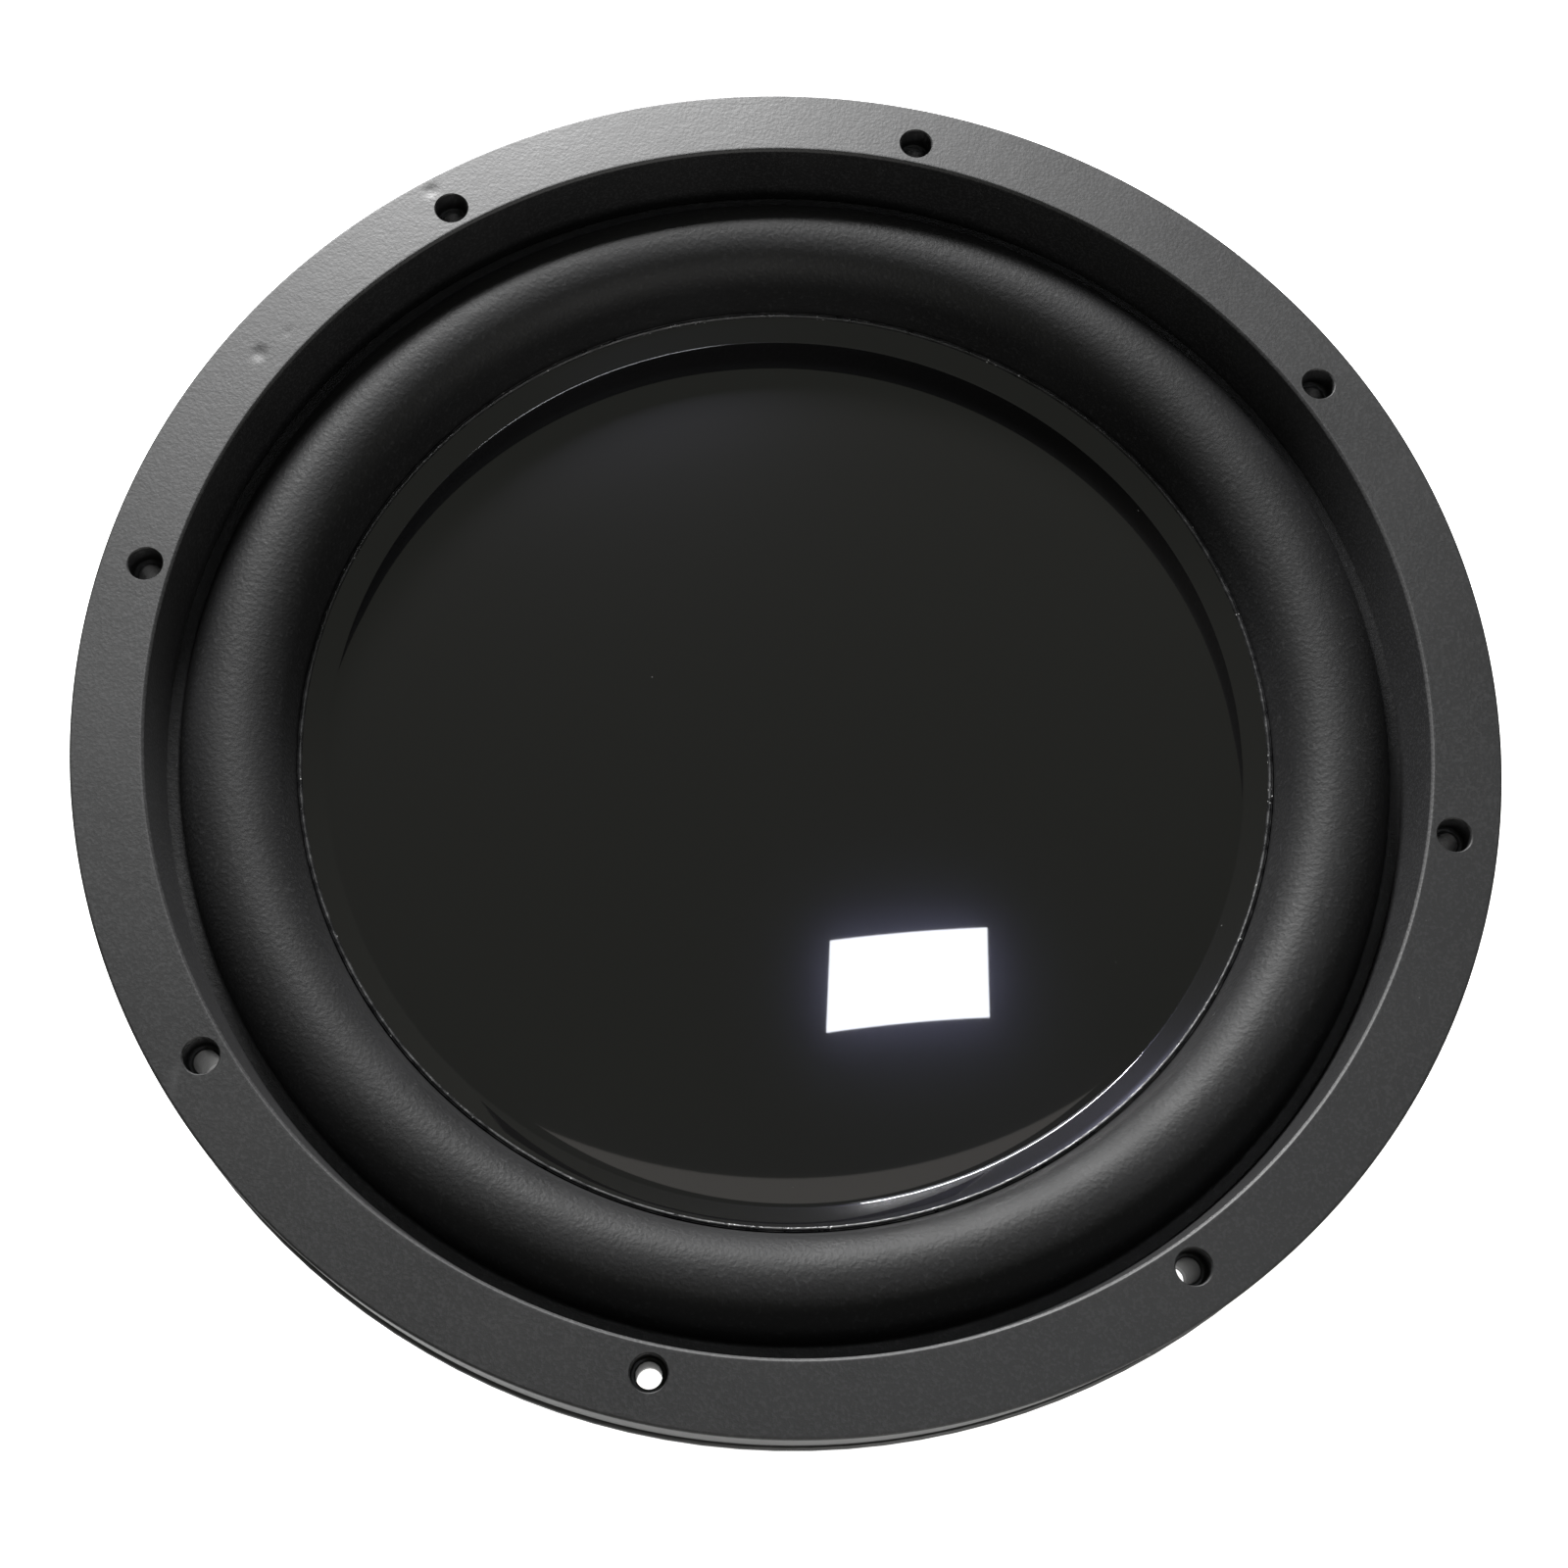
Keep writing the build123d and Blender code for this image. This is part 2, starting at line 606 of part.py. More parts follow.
BOOT_IN_R = MAGNET_R + 0.3
BOOT_TOP_Z = TOP_PLATE_Z - TOP_PLATE_T + 0.1
BOOT_FLOOR_Z = REAR_Z - 0.1
with BuildPart() as magnet_boot:
    with BuildSketch(Plane.XZ):
        Polygon(
            (BOOT_LIP_R, BOOT_FLOOR_Z - BOOT_LIP_T),
            (BOOT_IN_R + BOOT_T, BOOT_FLOOR_Z - BOOT_LIP_T),
            (BOOT_IN_R + BOOT_T, BOOT_TOP_Z + BOOT_LIP_T),
            (PLATE_R + 2, BOOT_TOP_Z + BOOT_LIP_T),
            (PLATE_R + 2, BOOT_TOP_Z),
            (BOOT_IN_R, BOOT_TOP_Z),
            (BOOT_IN_R, BOOT_FLOOR_Z),
            (BOOT_LIP_R, BOOT_FLOOR_Z),
            align=None,
        )
    revolve(axis=Axis.Z)
    outer_edges = magnet_boot.edges().filter_by(GeomType.CIRCLE).sort_by(SortBy.RADIUS)[-2:]
    fillet(outer_edges, 2)
save(magnet_boot, "magnet_boot")

# ---- Socket-head bolts that clamp the basket to the top plate
with BuildPart() as motor_bolts:
    with PolarLocations(MOTOR_BOLT_R, SPOKE_COUNT):
        with Locations((0, 0, SEAT_TOP_Z)):
            Cylinder(MOTOR_BOLT_HEAD_R, MOTOR_BOLT_HEAD_H, align=(Align.CENTER, Align.CENTER, Align.MIN))
            Cylinder(MOTOR_BOLT_SHANK_R, MOTOR_BOLT_LENGTH, align=(Align.CENTER, Align.CENTER, Align.MAX))
    chamfer(motor_bolts.edges().group_by(Axis.Z)[-1], 0.5)
    with BuildSketch(Plane.XY.offset(SEAT_TOP_Z + MOTOR_BOLT_HEAD_H)):
        with PolarLocations(MOTOR_BOLT_R, SPOKE_COUNT):
            RegularPolygon(HEX_SOCKET_R, 6)
    extrude(amount=-HEX_SOCKET_DEPTH, mode=Mode.SUBTRACT)
save(motor_bolts, "motor_bolts")

# ---- Terminals
for side_name, angle in SIDES.items():
    with BuildPart() as terminal_block:
        with BuildSketch(block_plane(angle, BLOCK_LOW_Z)):
            RectangleRounded(BLOCK_DEPTH, BLOCK_W, 1.5)
        extrude(amount=BLOCK_TOP_Z - BLOCK_LOW_Z)
        with BuildSketch(block_plane(angle, EAR_Z - EAR_H / 2)):
            with Locations((EAR_T / 2 - BLOCK_DEPTH / 2, 0)):
                Rectangle(EAR_T, EAR_W)
        extrude(amount=EAR_H)
        with BuildSketch(tangent_plane(angle, PAD_FACE_X, EAR_Z)):
            with Locations((EAR_HOLE_Y, 0), (-EAR_HOLE_Y, 0)):
                Circle(SCREW_SHANK_R + 0.3)
        extrude(amount=EAR_T, mode=Mode.SUBTRACT)
        with BuildSketch(block_plane(angle, BLOCK_LOW_Z)):
            with Locations((0, POST_Y), (0, -POST_Y)):
                Rectangle(CAVITY, CAVITY)
        extrude(amount=CAVITY_TOP_Z - BLOCK_LOW_Z, mode=Mode.SUBTRACT)
        with BuildSketch(tangent_plane(angle, BLOCK_X, WIRE_HOLE_Z)):
            with Locations((POST_Y, 0), (-POST_Y, 0)):
                Circle(WIRE_HOLE_R)
        extrude(amount=BLOCK_DEPTH / 2, mode=Mode.SUBTRACT)
        with BuildSketch(block_plane(angle, CAVITY_TOP_Z)):
            with Locations((CONTACT_SLOT_X, POST_Y), (CONTACT_SLOT_X, -POST_Y)):
                Rectangle(BLOCK_DEPTH / 2 + 1, CONTACT_W + 2 * CONTACT_GAP)
        extrude(amount=CONTACT_RISE + CONTACT_GAP, mode=Mode.SUBTRACT)
    save(terminal_block, f"terminal_block_{side_name}")

    with BuildPart() as terminal_screws:
        with BuildSketch(tangent_plane(angle, PAD_FACE_X + EAR_T, EAR_Z)):
            with Locations((EAR_HOLE_Y, 0), (-EAR_HOLE_Y, 0)):
                Circle(SCREW_HEAD_R)
        extrude(amount=SCREW_HEAD_T)
        with BuildSketch(tangent_plane(angle, PAD_FACE_X + EAR_T, EAR_Z)):
            with Locations((EAR_HOLE_Y, 0), (-EAR_HOLE_Y, 0)):
                Circle(SCREW_SHANK_R)
        extrude(amount=-SCREW_LENGTH)
        with BuildSketch(tangent_plane(angle, PAD_FACE_X + EAR_T + SCREW_HEAD_T, EAR_Z)):
            with Locations((EAR_HOLE_Y, 0), (-EAR_HOLE_Y, 0)):
                Rectangle(SCREW_SLOT_L, SCREW_SLOT_W)
                Rectangle(SCREW_SLOT_W, SCREW_SLOT_L)
        extrude(amount=-SCREW_SLOT_DEPTH, mode=Mode.SUBTRACT)
    save(terminal_screws, f"terminal_screws_{side_name}")

    for colour, hand in POSTS.items():
        post_y = hand * POST_Y
        with BuildPart() as push_button:
            with BuildSketch(block_plane(angle, BUTTON_LOW_Z)):
                with Locations((0, post_y)):
                    RectangleRounded(BUTTON, BUTTON, 1)
            extrude(amount=BUTTON_TOP_Z - BUTTON_LOW_Z)
            fillet(push_button.edges().group_by(Axis.Z)[0], 0.8)
            # The blade whose eye pulls the wire against the contact.
            with BuildSketch(tangent_plane(angle, BLOCK_X + BLADE_X, 0)):
                with Locations((post_y, (BUTTON_TOP_Z - 1 + BLADE_TOP_Z) / 2)):
                    Rectangle(BLADE_W, BLADE_TOP_Z - BUTTON_TOP_Z + 1)
                with Locations((post_y, EYE_Z)):
                    Circle(EYE_R, mode=Mode.SUBTRACT)
            extrude(amount=BLADE_T)
        save(push_button, f"push_button_{colour}_{side_name}")

        with BuildPart() as button_spring:
            with BuildSketch(block_plane(angle, BUTTON_TOP_Z + 0.05)):
                with Locations((SPRING_X, post_y)):
                    Circle(SPRING_R)
                    Circle(SPRING_BORE_R, mode=Mode.SUBTRACT)
            extrude(amount=CAVITY_TOP_Z - BUTTON_TOP_Z - 0.1)
        save(button_spring, f"button_spring_{colour}_{side_name}")

        with BuildPart() as wire_contact:
            with BuildSketch(block_section(angle, post_y)):
                Polygon(
                    (CONTACT_TAB_X, CAVITY_TOP_Z + CONTACT_RISE),
                    (CONTACT_T + CONTACT_GAP, CAVITY_TOP_Z + CONTACT_RISE),
                    (CONTACT_T + CONTACT_GAP, CONTACT_LOW_Z),
                    (CONTACT_GAP, CONTACT_LOW_Z),
                    (CONTACT_GAP, CAVITY_TOP_Z + CONTACT_RISE - CONTACT_T),
                    (CONTACT_TAB_X, CAVITY_TOP_Z + CONTACT_RISE - CONTACT_T),
                    align=None,
                )
            extrude(amount=CONTACT_W / 2, both=True)
        save(wire_contact, f"wire_contact_{colour}_{side_name}")

        # The lead's route, turned to this side and mirrored for the black post.
        outwards = Vector(1, 0, 0).rotate(Axis.Z, angle)
        sideways = Vector(0, hand, 0).rotate(Axis.Z, angle)
        route = [outwards * x + sideways * y + Vector(0, 0, z) for x, y, z in LEAD_ROUTE]
        with BuildPart() as tinsel_lead:
            with BuildLine() as lead_path:
                FilletPolyline(*route, radius=corner_radii(LEAD_ROUTE))
            with BuildSketch(Plane(origin=lead_path.line @ 0, z_dir=lead_path.line % 0)):
                Circle(LEAD_R)
            sweep()
        save(tinsel_lead, f"tinsel_lead_{colour}_{side_name}")
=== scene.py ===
import math

import bmesh
import bpy
from mathutils import Matrix, Vector, noise


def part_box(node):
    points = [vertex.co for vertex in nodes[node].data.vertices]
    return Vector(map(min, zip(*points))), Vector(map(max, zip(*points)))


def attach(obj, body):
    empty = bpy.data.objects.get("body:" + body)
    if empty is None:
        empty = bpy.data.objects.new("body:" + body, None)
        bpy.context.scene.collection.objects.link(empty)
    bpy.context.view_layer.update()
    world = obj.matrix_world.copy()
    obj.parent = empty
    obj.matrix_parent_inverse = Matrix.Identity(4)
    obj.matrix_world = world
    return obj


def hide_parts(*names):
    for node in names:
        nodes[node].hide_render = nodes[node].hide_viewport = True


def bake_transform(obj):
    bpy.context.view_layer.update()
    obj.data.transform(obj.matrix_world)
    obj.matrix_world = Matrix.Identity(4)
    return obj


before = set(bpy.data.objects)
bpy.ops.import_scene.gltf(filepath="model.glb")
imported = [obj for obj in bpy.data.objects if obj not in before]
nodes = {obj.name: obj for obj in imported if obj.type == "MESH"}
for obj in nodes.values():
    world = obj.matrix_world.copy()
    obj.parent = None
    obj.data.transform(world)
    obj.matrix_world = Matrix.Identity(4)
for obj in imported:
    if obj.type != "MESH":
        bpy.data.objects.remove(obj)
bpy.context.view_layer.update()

# Everything is in metres; profiles are written in millimetres and scaled by MM.
MM = 0.001
TURN = 2 * math.pi
CHASSIS = "chassis"
CONE = "cone_assembly"
SIDES = {"right": 0, "left": 180}
POSTS = {"red": 1, "black": -1}

scene = bpy.context.scene
scene.view_settings.view_transform = "Standard"


def node_size(node):
    """(largest radius, lowest height, highest height) of a round CAD node, in millimetres."""
    low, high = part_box(node)
    return max(high.x, high.y) / MM, low.z / MM, high.z / MM


RING_R, FLANGE_TOP_Z, RING_TOP_Z = node_size("trim_ring")
SURROUND_R, _, _ = node_size("surround")
CAP_R, _, _ = node_size("dust_cap")
BOOT_R, FLOOR_Z, BOOT_TOP_Z = node_size("magnet_boot")


# ================================================================ camera
CAMERA_PLACE = Vector((0.01304, -0.18510, 0.49405))
CAMERA_AZIMUTH = 3.99
CAMERA_ELEVATION = 70.66
CAMERA_ROLL = 7.99
LENS = 52.11
SENSOR_WIDTH = 36


def turned_axes(azimuth, elevation, roll):
    """Right, up and back directions of a camera on that side of the object, rolled about its view."""
    a, e, r = (math.radians(x) for x in (azimuth, elevation, roll))
    back = Vector((math.sin(a) * math.cos(e), -math.cos(a) * math.cos(e), math.sin(e)))
    right = (-back).cross(Vector((0, 0, 1))).normalized()
    up = right.cross(-back)
    return right * math.cos(r) + up * math.sin(r), up * math.cos(r) - right * math.sin(r), back


def add_camera():
    """The view from close in front of the speaker, nearly along its axis, turned a little."""
    right, up, back = turned_axes(CAMERA_AZIMUTH, CAMERA_ELEVATION, CAMERA_ROLL)
    data = bpy.data.cameras.new("camera")
    data.sensor_width = SENSOR_WIDTH
    data.lens = LENS
    data.clip_start = 0.01
    data.clip_end = 50
    camera = bpy.data.objects.new("camera", data)
    camera.matrix_world = Matrix.Translation(CAMERA_PLACE) @ Matrix((right, up, back)).transposed().to_4x4()
    scene.collection.objects.link(camera)
    scene.camera = camera


# ================================================================ light and floor
CEILING_Z = 1.2
PANEL_PLACE = (0.262, 0.047)
PANEL_LENGTH = 0.289
PANEL_WIDTH = 0.147
PANEL_TURN = 20.5
PANEL_LEAN = 77.9
PANEL_COLOUR = (0.92, 0.94, 1)
PANEL_RADIANCE = 16.5
CORNICE_CENTRE = (-0.071, 0.601)
CORNICE_INNER_R = 0.898
CORNICE_OUTER_R = 0.95
CORNICE_START = -105
CORNICE_SWEEP = 65
CORNICE_STEPS = 32
CORNICE_COLOUR = (1, 0.96, 0.88)
CORNICE_RADIANCE = 0.65
STUDIO_COLOUR = (0.97, 1, 0.86)
STUDIO_RADIANCE = 0.175


def add_area_light(name, place, size, radiance, colour, facing):
    """A rectangular lamp of even radiance that faces a point."""
    data = bpy.data.lights.new(name, "AREA")
    data.shape = "RECTANGLE"
    data.size, data.size_y = size
    data.energy = radiance * math.pi * size[0] * size[1]
    data.color = colour
    lamp = bpy.data.objects.new(name, data)
    lamp.location = place
    lamp.rotation_mode = "QUATERNION"
    lamp.rotation_quaternion = (Vector(facing) - Vector(place)).to_track_quat("-Z", "Y")
    scene.collection.objects.link(lamp)
    return lamp


def add_glowing(name, rows, colour, radiance):
    """A glowing sheet of the set, made from two rows of places."""
    bm = bmesh.new()
    edges = [[bm.verts.new(place) for place in pair] for pair in zip(*rows)]
    for here, there in zip(edges, edges[1:]):
        bm.faces.new((here[0], there[0], there[1], here[1]))
    mesh = bpy.data.meshes.new(name)
    bm.to_mesh(mesh)
    bm.free()
    glow = Finish(name + "_glow", (0, 0, 0), 1)
    glow.shader.inputs["Emission Color"].default_value = (*colour, 1)
    glow.shader.inputs["Emission Strength"].default_value = radiance
    mesh.materials.append(glow.material)
    sheet = bpy.data.objects.new(name, mesh)
    scene.collection.objects.link(sheet)


def add_ceiling_panel():
    """A small bright leaning panel overhead, which the gloss cap mirrors as a white window."""
    centre = Vector((*PANEL_PLACE, CEILING_Z))
    turn, lean = math.radians(PANEL_TURN), math.radians(PANEL_LEAN)
    along = Vector((math.cos(turn), math.sin(turn), 0)) * PANEL_LENGTH / 2
    across = Vector((math.cos(turn + lean), math.sin(turn + lean), 0)) * PANEL_WIDTH / 2
    rows = [[centre + along * x + across * y for x in (-1, 1)] for y in (-1, 1)]
    add_glowing("ceiling_panel", rows, PANEL_COLOUR, PANEL_RADIANCE)


def add_cornice():
    """A pale curved strip overhead: the gloss cap shows it as a thin crescent along its near edge."""
    centre = Vector((*CORNICE_CENTRE, CEILING_Z))
    steps = range(CORNICE_STEPS + 1)
    sweep = [math.radians(CORNICE_START + CORNICE_SWEEP * k / CORNICE_STEPS) for k in steps]
    spokes = [Vector((math.cos(a), math.sin(a), 0)) for a in sweep]
    rows = [[centre + spoke * r for spoke in spokes] for r in (CORNICE_INNER_R, CORNICE_OUTER_R)]
    add_glowing("cornice", rows, CORNICE_COLOUR, CORNICE_RADIANCE)


def add_lights():
    """The ceiling's panel and cornice, a low window at the far left, a weak near fill and an even sky."""
    add_ceiling_panel()
    add_area_light("window", (-0.275, 0.590, 0.30), (0.28, 0.115), 205, (1, 1, 1), facing=(0, 0, 0))
    add_area_light("fill", (0.745, -1.064, 0.75), (1.0, 0.4), 8, (1, 0.98, 0.96), facing=(0, 0, 0))
    world = bpy.data.worlds.new("studio")
    world.use_nodes = True
    background = world.node_tree.nodes["Background"]
    background.inputs["Color"].default_value = (*STUDIO_COLOUR, 1)
    background.inputs["Strength"].default_value = STUDIO_RADIANCE
    scene.world = world
    add_cornice()


# ================================================================ materials
# The colour sockets of a Mix node, by number because its float, vector and colour sockets share their names.
MIX_FACTOR = 0
MIX_A = 6
MIX_B = 7
MIX_RESULT = 2
# The Wave node's scale for which one wave is one unit long.
WAVE_UNIT = TURN / 20


class Finish:
    """A Principled material and the procedural textures that drive it. Feature sizes are in metres."""

    def __init__(self, name, colour, roughness, **sockets):
        self.material = bpy.data.materials.new(name)
        self.material.use_nodes = True
        self.tree = self.material.node_tree
        self.shader = self.tree.nodes["Principled BSDF"]
        self.shader.inputs["Base Color"].default_value = (*colour, 1)
        self.shader.inputs["Roughness"].default_value = roughness
        for socket, value in sockets.items():
            self.shader.inputs[socket.replace("_", " ")].default_value = value
        self.colour = None
        self.first_colour = colour
        self.normal = None
        self.place = self.add("ShaderNodeTexCoord").outputs["Object"]

    def add(self, kind, inputs=None, **settings):
        node = self.tree.nodes.new(kind)
        for key, value in settings.items():
            setattr(node, key, value)
        for key, value in (inputs or {}).items():
            if isinstance(value, bpy.types.NodeSocket):
                self.tree.links.new(value, node.inputs[key])
            else:
                node.inputs[key].default_value = value
        return node

    def stretched(self, scale):
        """The place vector scaled along X, Y and Z, which stretches a texture."""
        return self.add("ShaderNodeMapping", {"Vector": self.place, "Scale": scale}).outputs["Vector"]

    def noise(self, size, detail=2, place=None):
        """Soft noise from 0 to 1 whose features are that large."""
        inputs = {"Vector": place or self.place, "Scale": 1 / size, "Detail": detail}
        return self.add("ShaderNodeTexNoise", inputs).outputs["Fac"]

    def cells(self, size, feature="F1"):
        """Cells of that size: the distance from each cell's middle, in cell widths, and its colour."""
        found = self.add("ShaderNodeTexVoronoi", {"Vector": self.place, "Scale": 1 / size}, feature=feature)
        return found.outputs

    def waves(self, pitch, kind="BANDS", direction="X", wobble=0.0):
        """Waves with that distance from crest to crest."""
        settings = {"wave_type": kind}
        settings["bands_direction" if kind == "BANDS" else "rings_direction"] = direction
        inputs = {"Vector": self.place, "Scale": WAVE_UNIT / pitch, "Distortion": wobble, "Detail Scale": 4}
        return self.add("ShaderNodeTexWave", inputs, **settings).outputs["Fac"]

    def between(self, source, low, high, to_low=0.0, to_high=1.0):
        """The source's values from low to high, spread over to_low to to_high."""
        inputs = {"Value": source, "From Min": low, "From Max": high, "To Min": to_low, "To Max": to_high}
        return self.add("ShaderNodeMapRange", inputs).outputs["Result"]

    def times(self, a, b):
        return self.add("ShaderNodeMath", {0: a, 1: b}, operation="MULTIPLY").outputs["Value"]

    def tint(self, mask, colour):
        """The colour changes to this one where the mask is 1."""
        mixer = self.add("ShaderNodeMix", data_type="RGBA")
        if self.colour is None:
            mixer.inputs[MIX_A].default_value = (*self.first_colour, 1)
        else:
            self.tree.links.new(self.colour, mixer.inputs[MIX_A])
        mixer.inputs[MIX_B].default_value = (*colour, 1)
        self.tree.links.new(mask, mixer.inputs[MIX_FACTOR])
        self.colour = mixer.outputs[MIX_RESULT]
        self.tree.links.new(self.colour, self.shader.inputs["Base Color"])
        return self

    def drive(self, socket, source):
        self.tree.links.new(source, self.shader.inputs[socket])
        return self

    def bump(self, source, depth, strength=1.0):
        """Relief of that depth in metres on top of the relief so far."""
        inputs = {"Height": source, "Distance": depth, "Strength": strength}
        if self.normal is not None:
            inputs["Normal"] = self.normal
        self.normal = self.add("ShaderNodeBump", inputs).outputs["Normal"]
        self.tree.links.new(self.normal, self.shader.inputs["Normal"])
        return self


def grained_plastic(name, colour, roughness, grain=0.0005, depth=0.00002):
    """Moulded plastic with a fine spark-eroded grain, faint flow patches and a few scuffs."""
    f = Finish(name, colour, roughness)
    patches = f.noise(0.05, 3)
    f.tint(f.between(patches, 0.4, 0.75), [c * 1.25 + 0.001 for c in colour])
    scuffs = f.between(f.noise(0.012, 6, f.stretched((1, 0.25, 1))), 0.66, 0.74)
    f.tint(scuffs, [c * 1.6 + 0.004 for c in colour])
    f.drive("Roughness", f.between(patches, 0.3, 0.7, roughness - 0.03, roughness + 0.04))
    f.bump(f.noise(grain, 3), depth)
    f.bump(f.noise(grain * 12, 2), depth * 1.5)
    return f.material


def ring_plastic():
    """The trim ring's black plastic: an even fine grain with a satin sheen."""
    f = Finish("trim_ring_plastic", (0.0045, 0.0045, 0.005), 0.53, IOR=1.5)
    patches = f.noise(0.035, 4)
    f.tint(f.between(patches, 0.45, 0.8), (0.0065, 0.0065, 0.007))
    scratch = f.between(f.noise(0.02, 2, f.stretched((1, 0.04, 1))), 0.735, 0.75)
    rare = f.between(f.noise(0.03, 1), 0.58, 0.62)
    f.tint(f.times(scratch, rare), (0.02, 0.02, 0.021))
    specks = f.between(f.cells(0.0035)["Distance"], 0.06, 0.035)
    dust = f.between(f.noise(0.008, 2), 0.55, 0.6)
    f.tint(f.times(specks, dust), (0.06, 0.06, 0.06))
    f.drive("Roughness", f.between(patches, 0.3, 0.75, 0.53, 0.60))
    grain = f.noise(0.0007, 2)
    f.tint(f.between(grain, 0.5, 0.62), (0.012, 0.012, 0.0128))
    f.bump(grain, 0.00006)
    f.bump(f.noise(0.0045, 2), 0.00004)
    return f.material


def surround_rubber():
    """Black nitrile rubber: matt, finely speckled, with faint moulding dust."""
    f = Finish("surround_rubber_skin", (0.0042, 0.0042, 0.0045), 0.58, IOR=1.5, Specular_IOR_Level=0.25)
    speckle = f.noise(0.001, 3)
    f.tint(f.between(speckle, 0.56, 0.72), (0.013, 0.013, 0.0135))
    cloud = f.noise(0.03, 3)
    f.tint(f.between(cloud, 0.52, 0.8), (0.0065, 0.0065, 0.007))
    f.drive("Roughness", f.between(cloud, 0.3, 0.7, 0.55, 0.62))
    f.bump(speckle, 0.00013)
    f.bump(f.noise(0.0025, 2), 0.00002)
    return f.material


def cap_gloss():
    """Piano-black moulding: a mirror-like coat over a faintly hazy black, with hairlines and dust."""
    f = Finish("cap_gloss_black", (0.0022, 0.0021, 0.0020), 0.16, IOR=1.5)
    f.shader.inputs["Specular IOR Level"].default_value = 0.12
    f.shader.inputs["Specular Tint"].default_value = (0.62, 0.62, 1, 1)
    f.shader.inputs["Coat Weight"].default_value = 1
    f.shader.inputs["Coat Roughness"].default_value = 0.02
    f.shader.inputs["Coat IOR"].default_value = 1.7
    dust = f.between(f.cells(0.009)["Distance"], 0.022, 0.012)
    where = f.between(f.noise(0.02, 2), 0.54, 0.58)
    f.tint(f.times(dust, where), (0.07, 0.07, 0.068))
    hairline = f.between(f.noise(0.03, 2, f.stretched((1, 0.02, 1))), 0.70, 0.72)
    f.drive("Roughness", f.between(hairline, 0, 1, 0.15, 0.24))
    f.bump(f.noise(0.045, 1), 0.00002)
    return f.material


def glue_black():
    """Black rubber glue, lumpy and part glossy, with bright dust stuck in it."""
    f = Finish("black_glue", (0.006, 0.006, 0.0065), 0.38)
    specks = f.between(f.cells(0.0012)["Distance"], 0.20, 0.10)
    where = f.between(f.noise(0.009, 3), 0.54, 0.62)
    f.tint(f.times(specks, where), (0.42, 0.42, 0.42))
    f.drive("Roughness", f.between(f.noise(0.003, 2), 0.35, 0.65, 0.25, 0.6))
    f.bump(f.noise(0.0011, 3), 0.00012)
    return f.material


def pulp():
    """Black-dyed pressed paper pulp with long random fibres."""
    f = Finish("cone_pulp_fibre", (0.022, 0.021, 0.020), 0.82)
    fibres = f.noise(0.0016, 8, f.stretched((1, 1, 0.35)))
    f.tint(f.between(fibres, 0.52, 0.72), (0.055, 0.052, 0.048))
    f.tint(f.between(f.noise(0.02, 3), 0.5, 0.8), (0.030, 0.029, 0.027))
    f.drive("Roughness", f.between(fibres, 0.3, 0.7, 0.75, 0.9))
    f.bump(fibres, 0.00018)
    return f.material


def spider_cloth():
    """Resin-dipped woven cotton: warp and weft threads in a tan weave."""
    f = Finish("spider_weave", (0.42, 0.27, 0.11), 0.78, Sheen_Weight=0.25)
    warp = f.waves(0.0007, direction="X", wobble=0.6)
    weft = f.waves(0.0007, direction="Y", wobble=0.6)
    weave = f.times(warp, weft)
    f.tint(f.between(weave, 0.0, 0.35, 0.75, 0.0), (0.22, 0.12, 0.04))
    f.tint(f.between(f.noise(0.012, 4), 0.5, 0.8), (0.50, 0.34, 0.16))
    f.drive("Roughness", f.between(weave, 0, 1, 0.88, 0.7))
    f.bump(weave, 0.00015)
    return f.material


def powder_coat():
    """Black powder paint on die-cast aluminium, with orange peel and rubbed patches."""
    f = Finish("basket_powder_coat", (0.014, 0.014, 0.015), 0.42)
    wear = f.between(f.noise(0.018, 6), 0.62, 0.72)
    f.tint(wear, (0.03, 0.03, 0.032))
    f.tint(f.between(f.noise(0.006, 5), 0.71, 0.75), (0.12, 0.12, 0.125))
    f.drive("Roughness", f.between(f.noise(0.02, 3), 0.3, 0.7, 0.36, 0.5))
    f.bump(f.noise(0.0016, 2), 0.00005)
    f.bump(f.noise(0.0005, 2), 0.00002)
    return f.material


def turned_steel(name, colour, roughness, pitch=0.0006):
    """Steel turned on a lathe: fine rings round the axis, plated, with dull patches."""
    f = Finish(name, colour, roughness, Metallic=1.0)
    rings = f.waves(pitch, kind="RINGS", direction="Z", wobble=0.4)
    patches = f.noise(0.018, 5)
    f.tint(f.between(patches, 0.45, 0.75), [c * 0.72 for c in colour])
    f.drive("Roughness", f.between(patches, 0.3, 0.7, roughness - 0.06, roughness + 0.12))
    f.bump(rings, 0.00002, 0.7)
    f.bump(f.noise(0.0008, 3), 0.00001)
    return f.material


def plated(name, colour, roughness, pitting=0.0007):
    """Plated or cast metal with a fine random texture and darker handling marks."""
    f = Finish(name, colour, roughness, Metallic=1.0)
    marks = f.noise(0.006, 5)
    f.tint(f.between(marks, 0.5, 0.75), [c * 0.6 for c in colour])
    f.drive("Roughness", f.between(marks, 0.3, 0.7, roughness - 0.05, roughness + 0.15))
    f.bump(f.noise(pitting, 3), 0.00002)
    return f.material


def ferrite():
    """Ground ferrite: dark grey, with grinding lines and small chips."""
    f = Finish("ground_ferrite", (0.035, 0.034, 0.034), 0.5)
    f.tint(f.between(f.cells(0.004)["Distance"], 0.12, 0.05), (0.012, 0.012, 0.012))
    f.tint(f.between(f.noise(0.01, 4), 0.5, 0.8), (0.055, 0.053, 0.052))
    f.drive("Roughness", f.between(f.noise(0.004, 3), 0.3, 0.7, 0.4, 0.62))
    f.bump(f.noise(0.002, 4, f.stretched((1, 0.1, 1))), 0.00003)
    return f.material


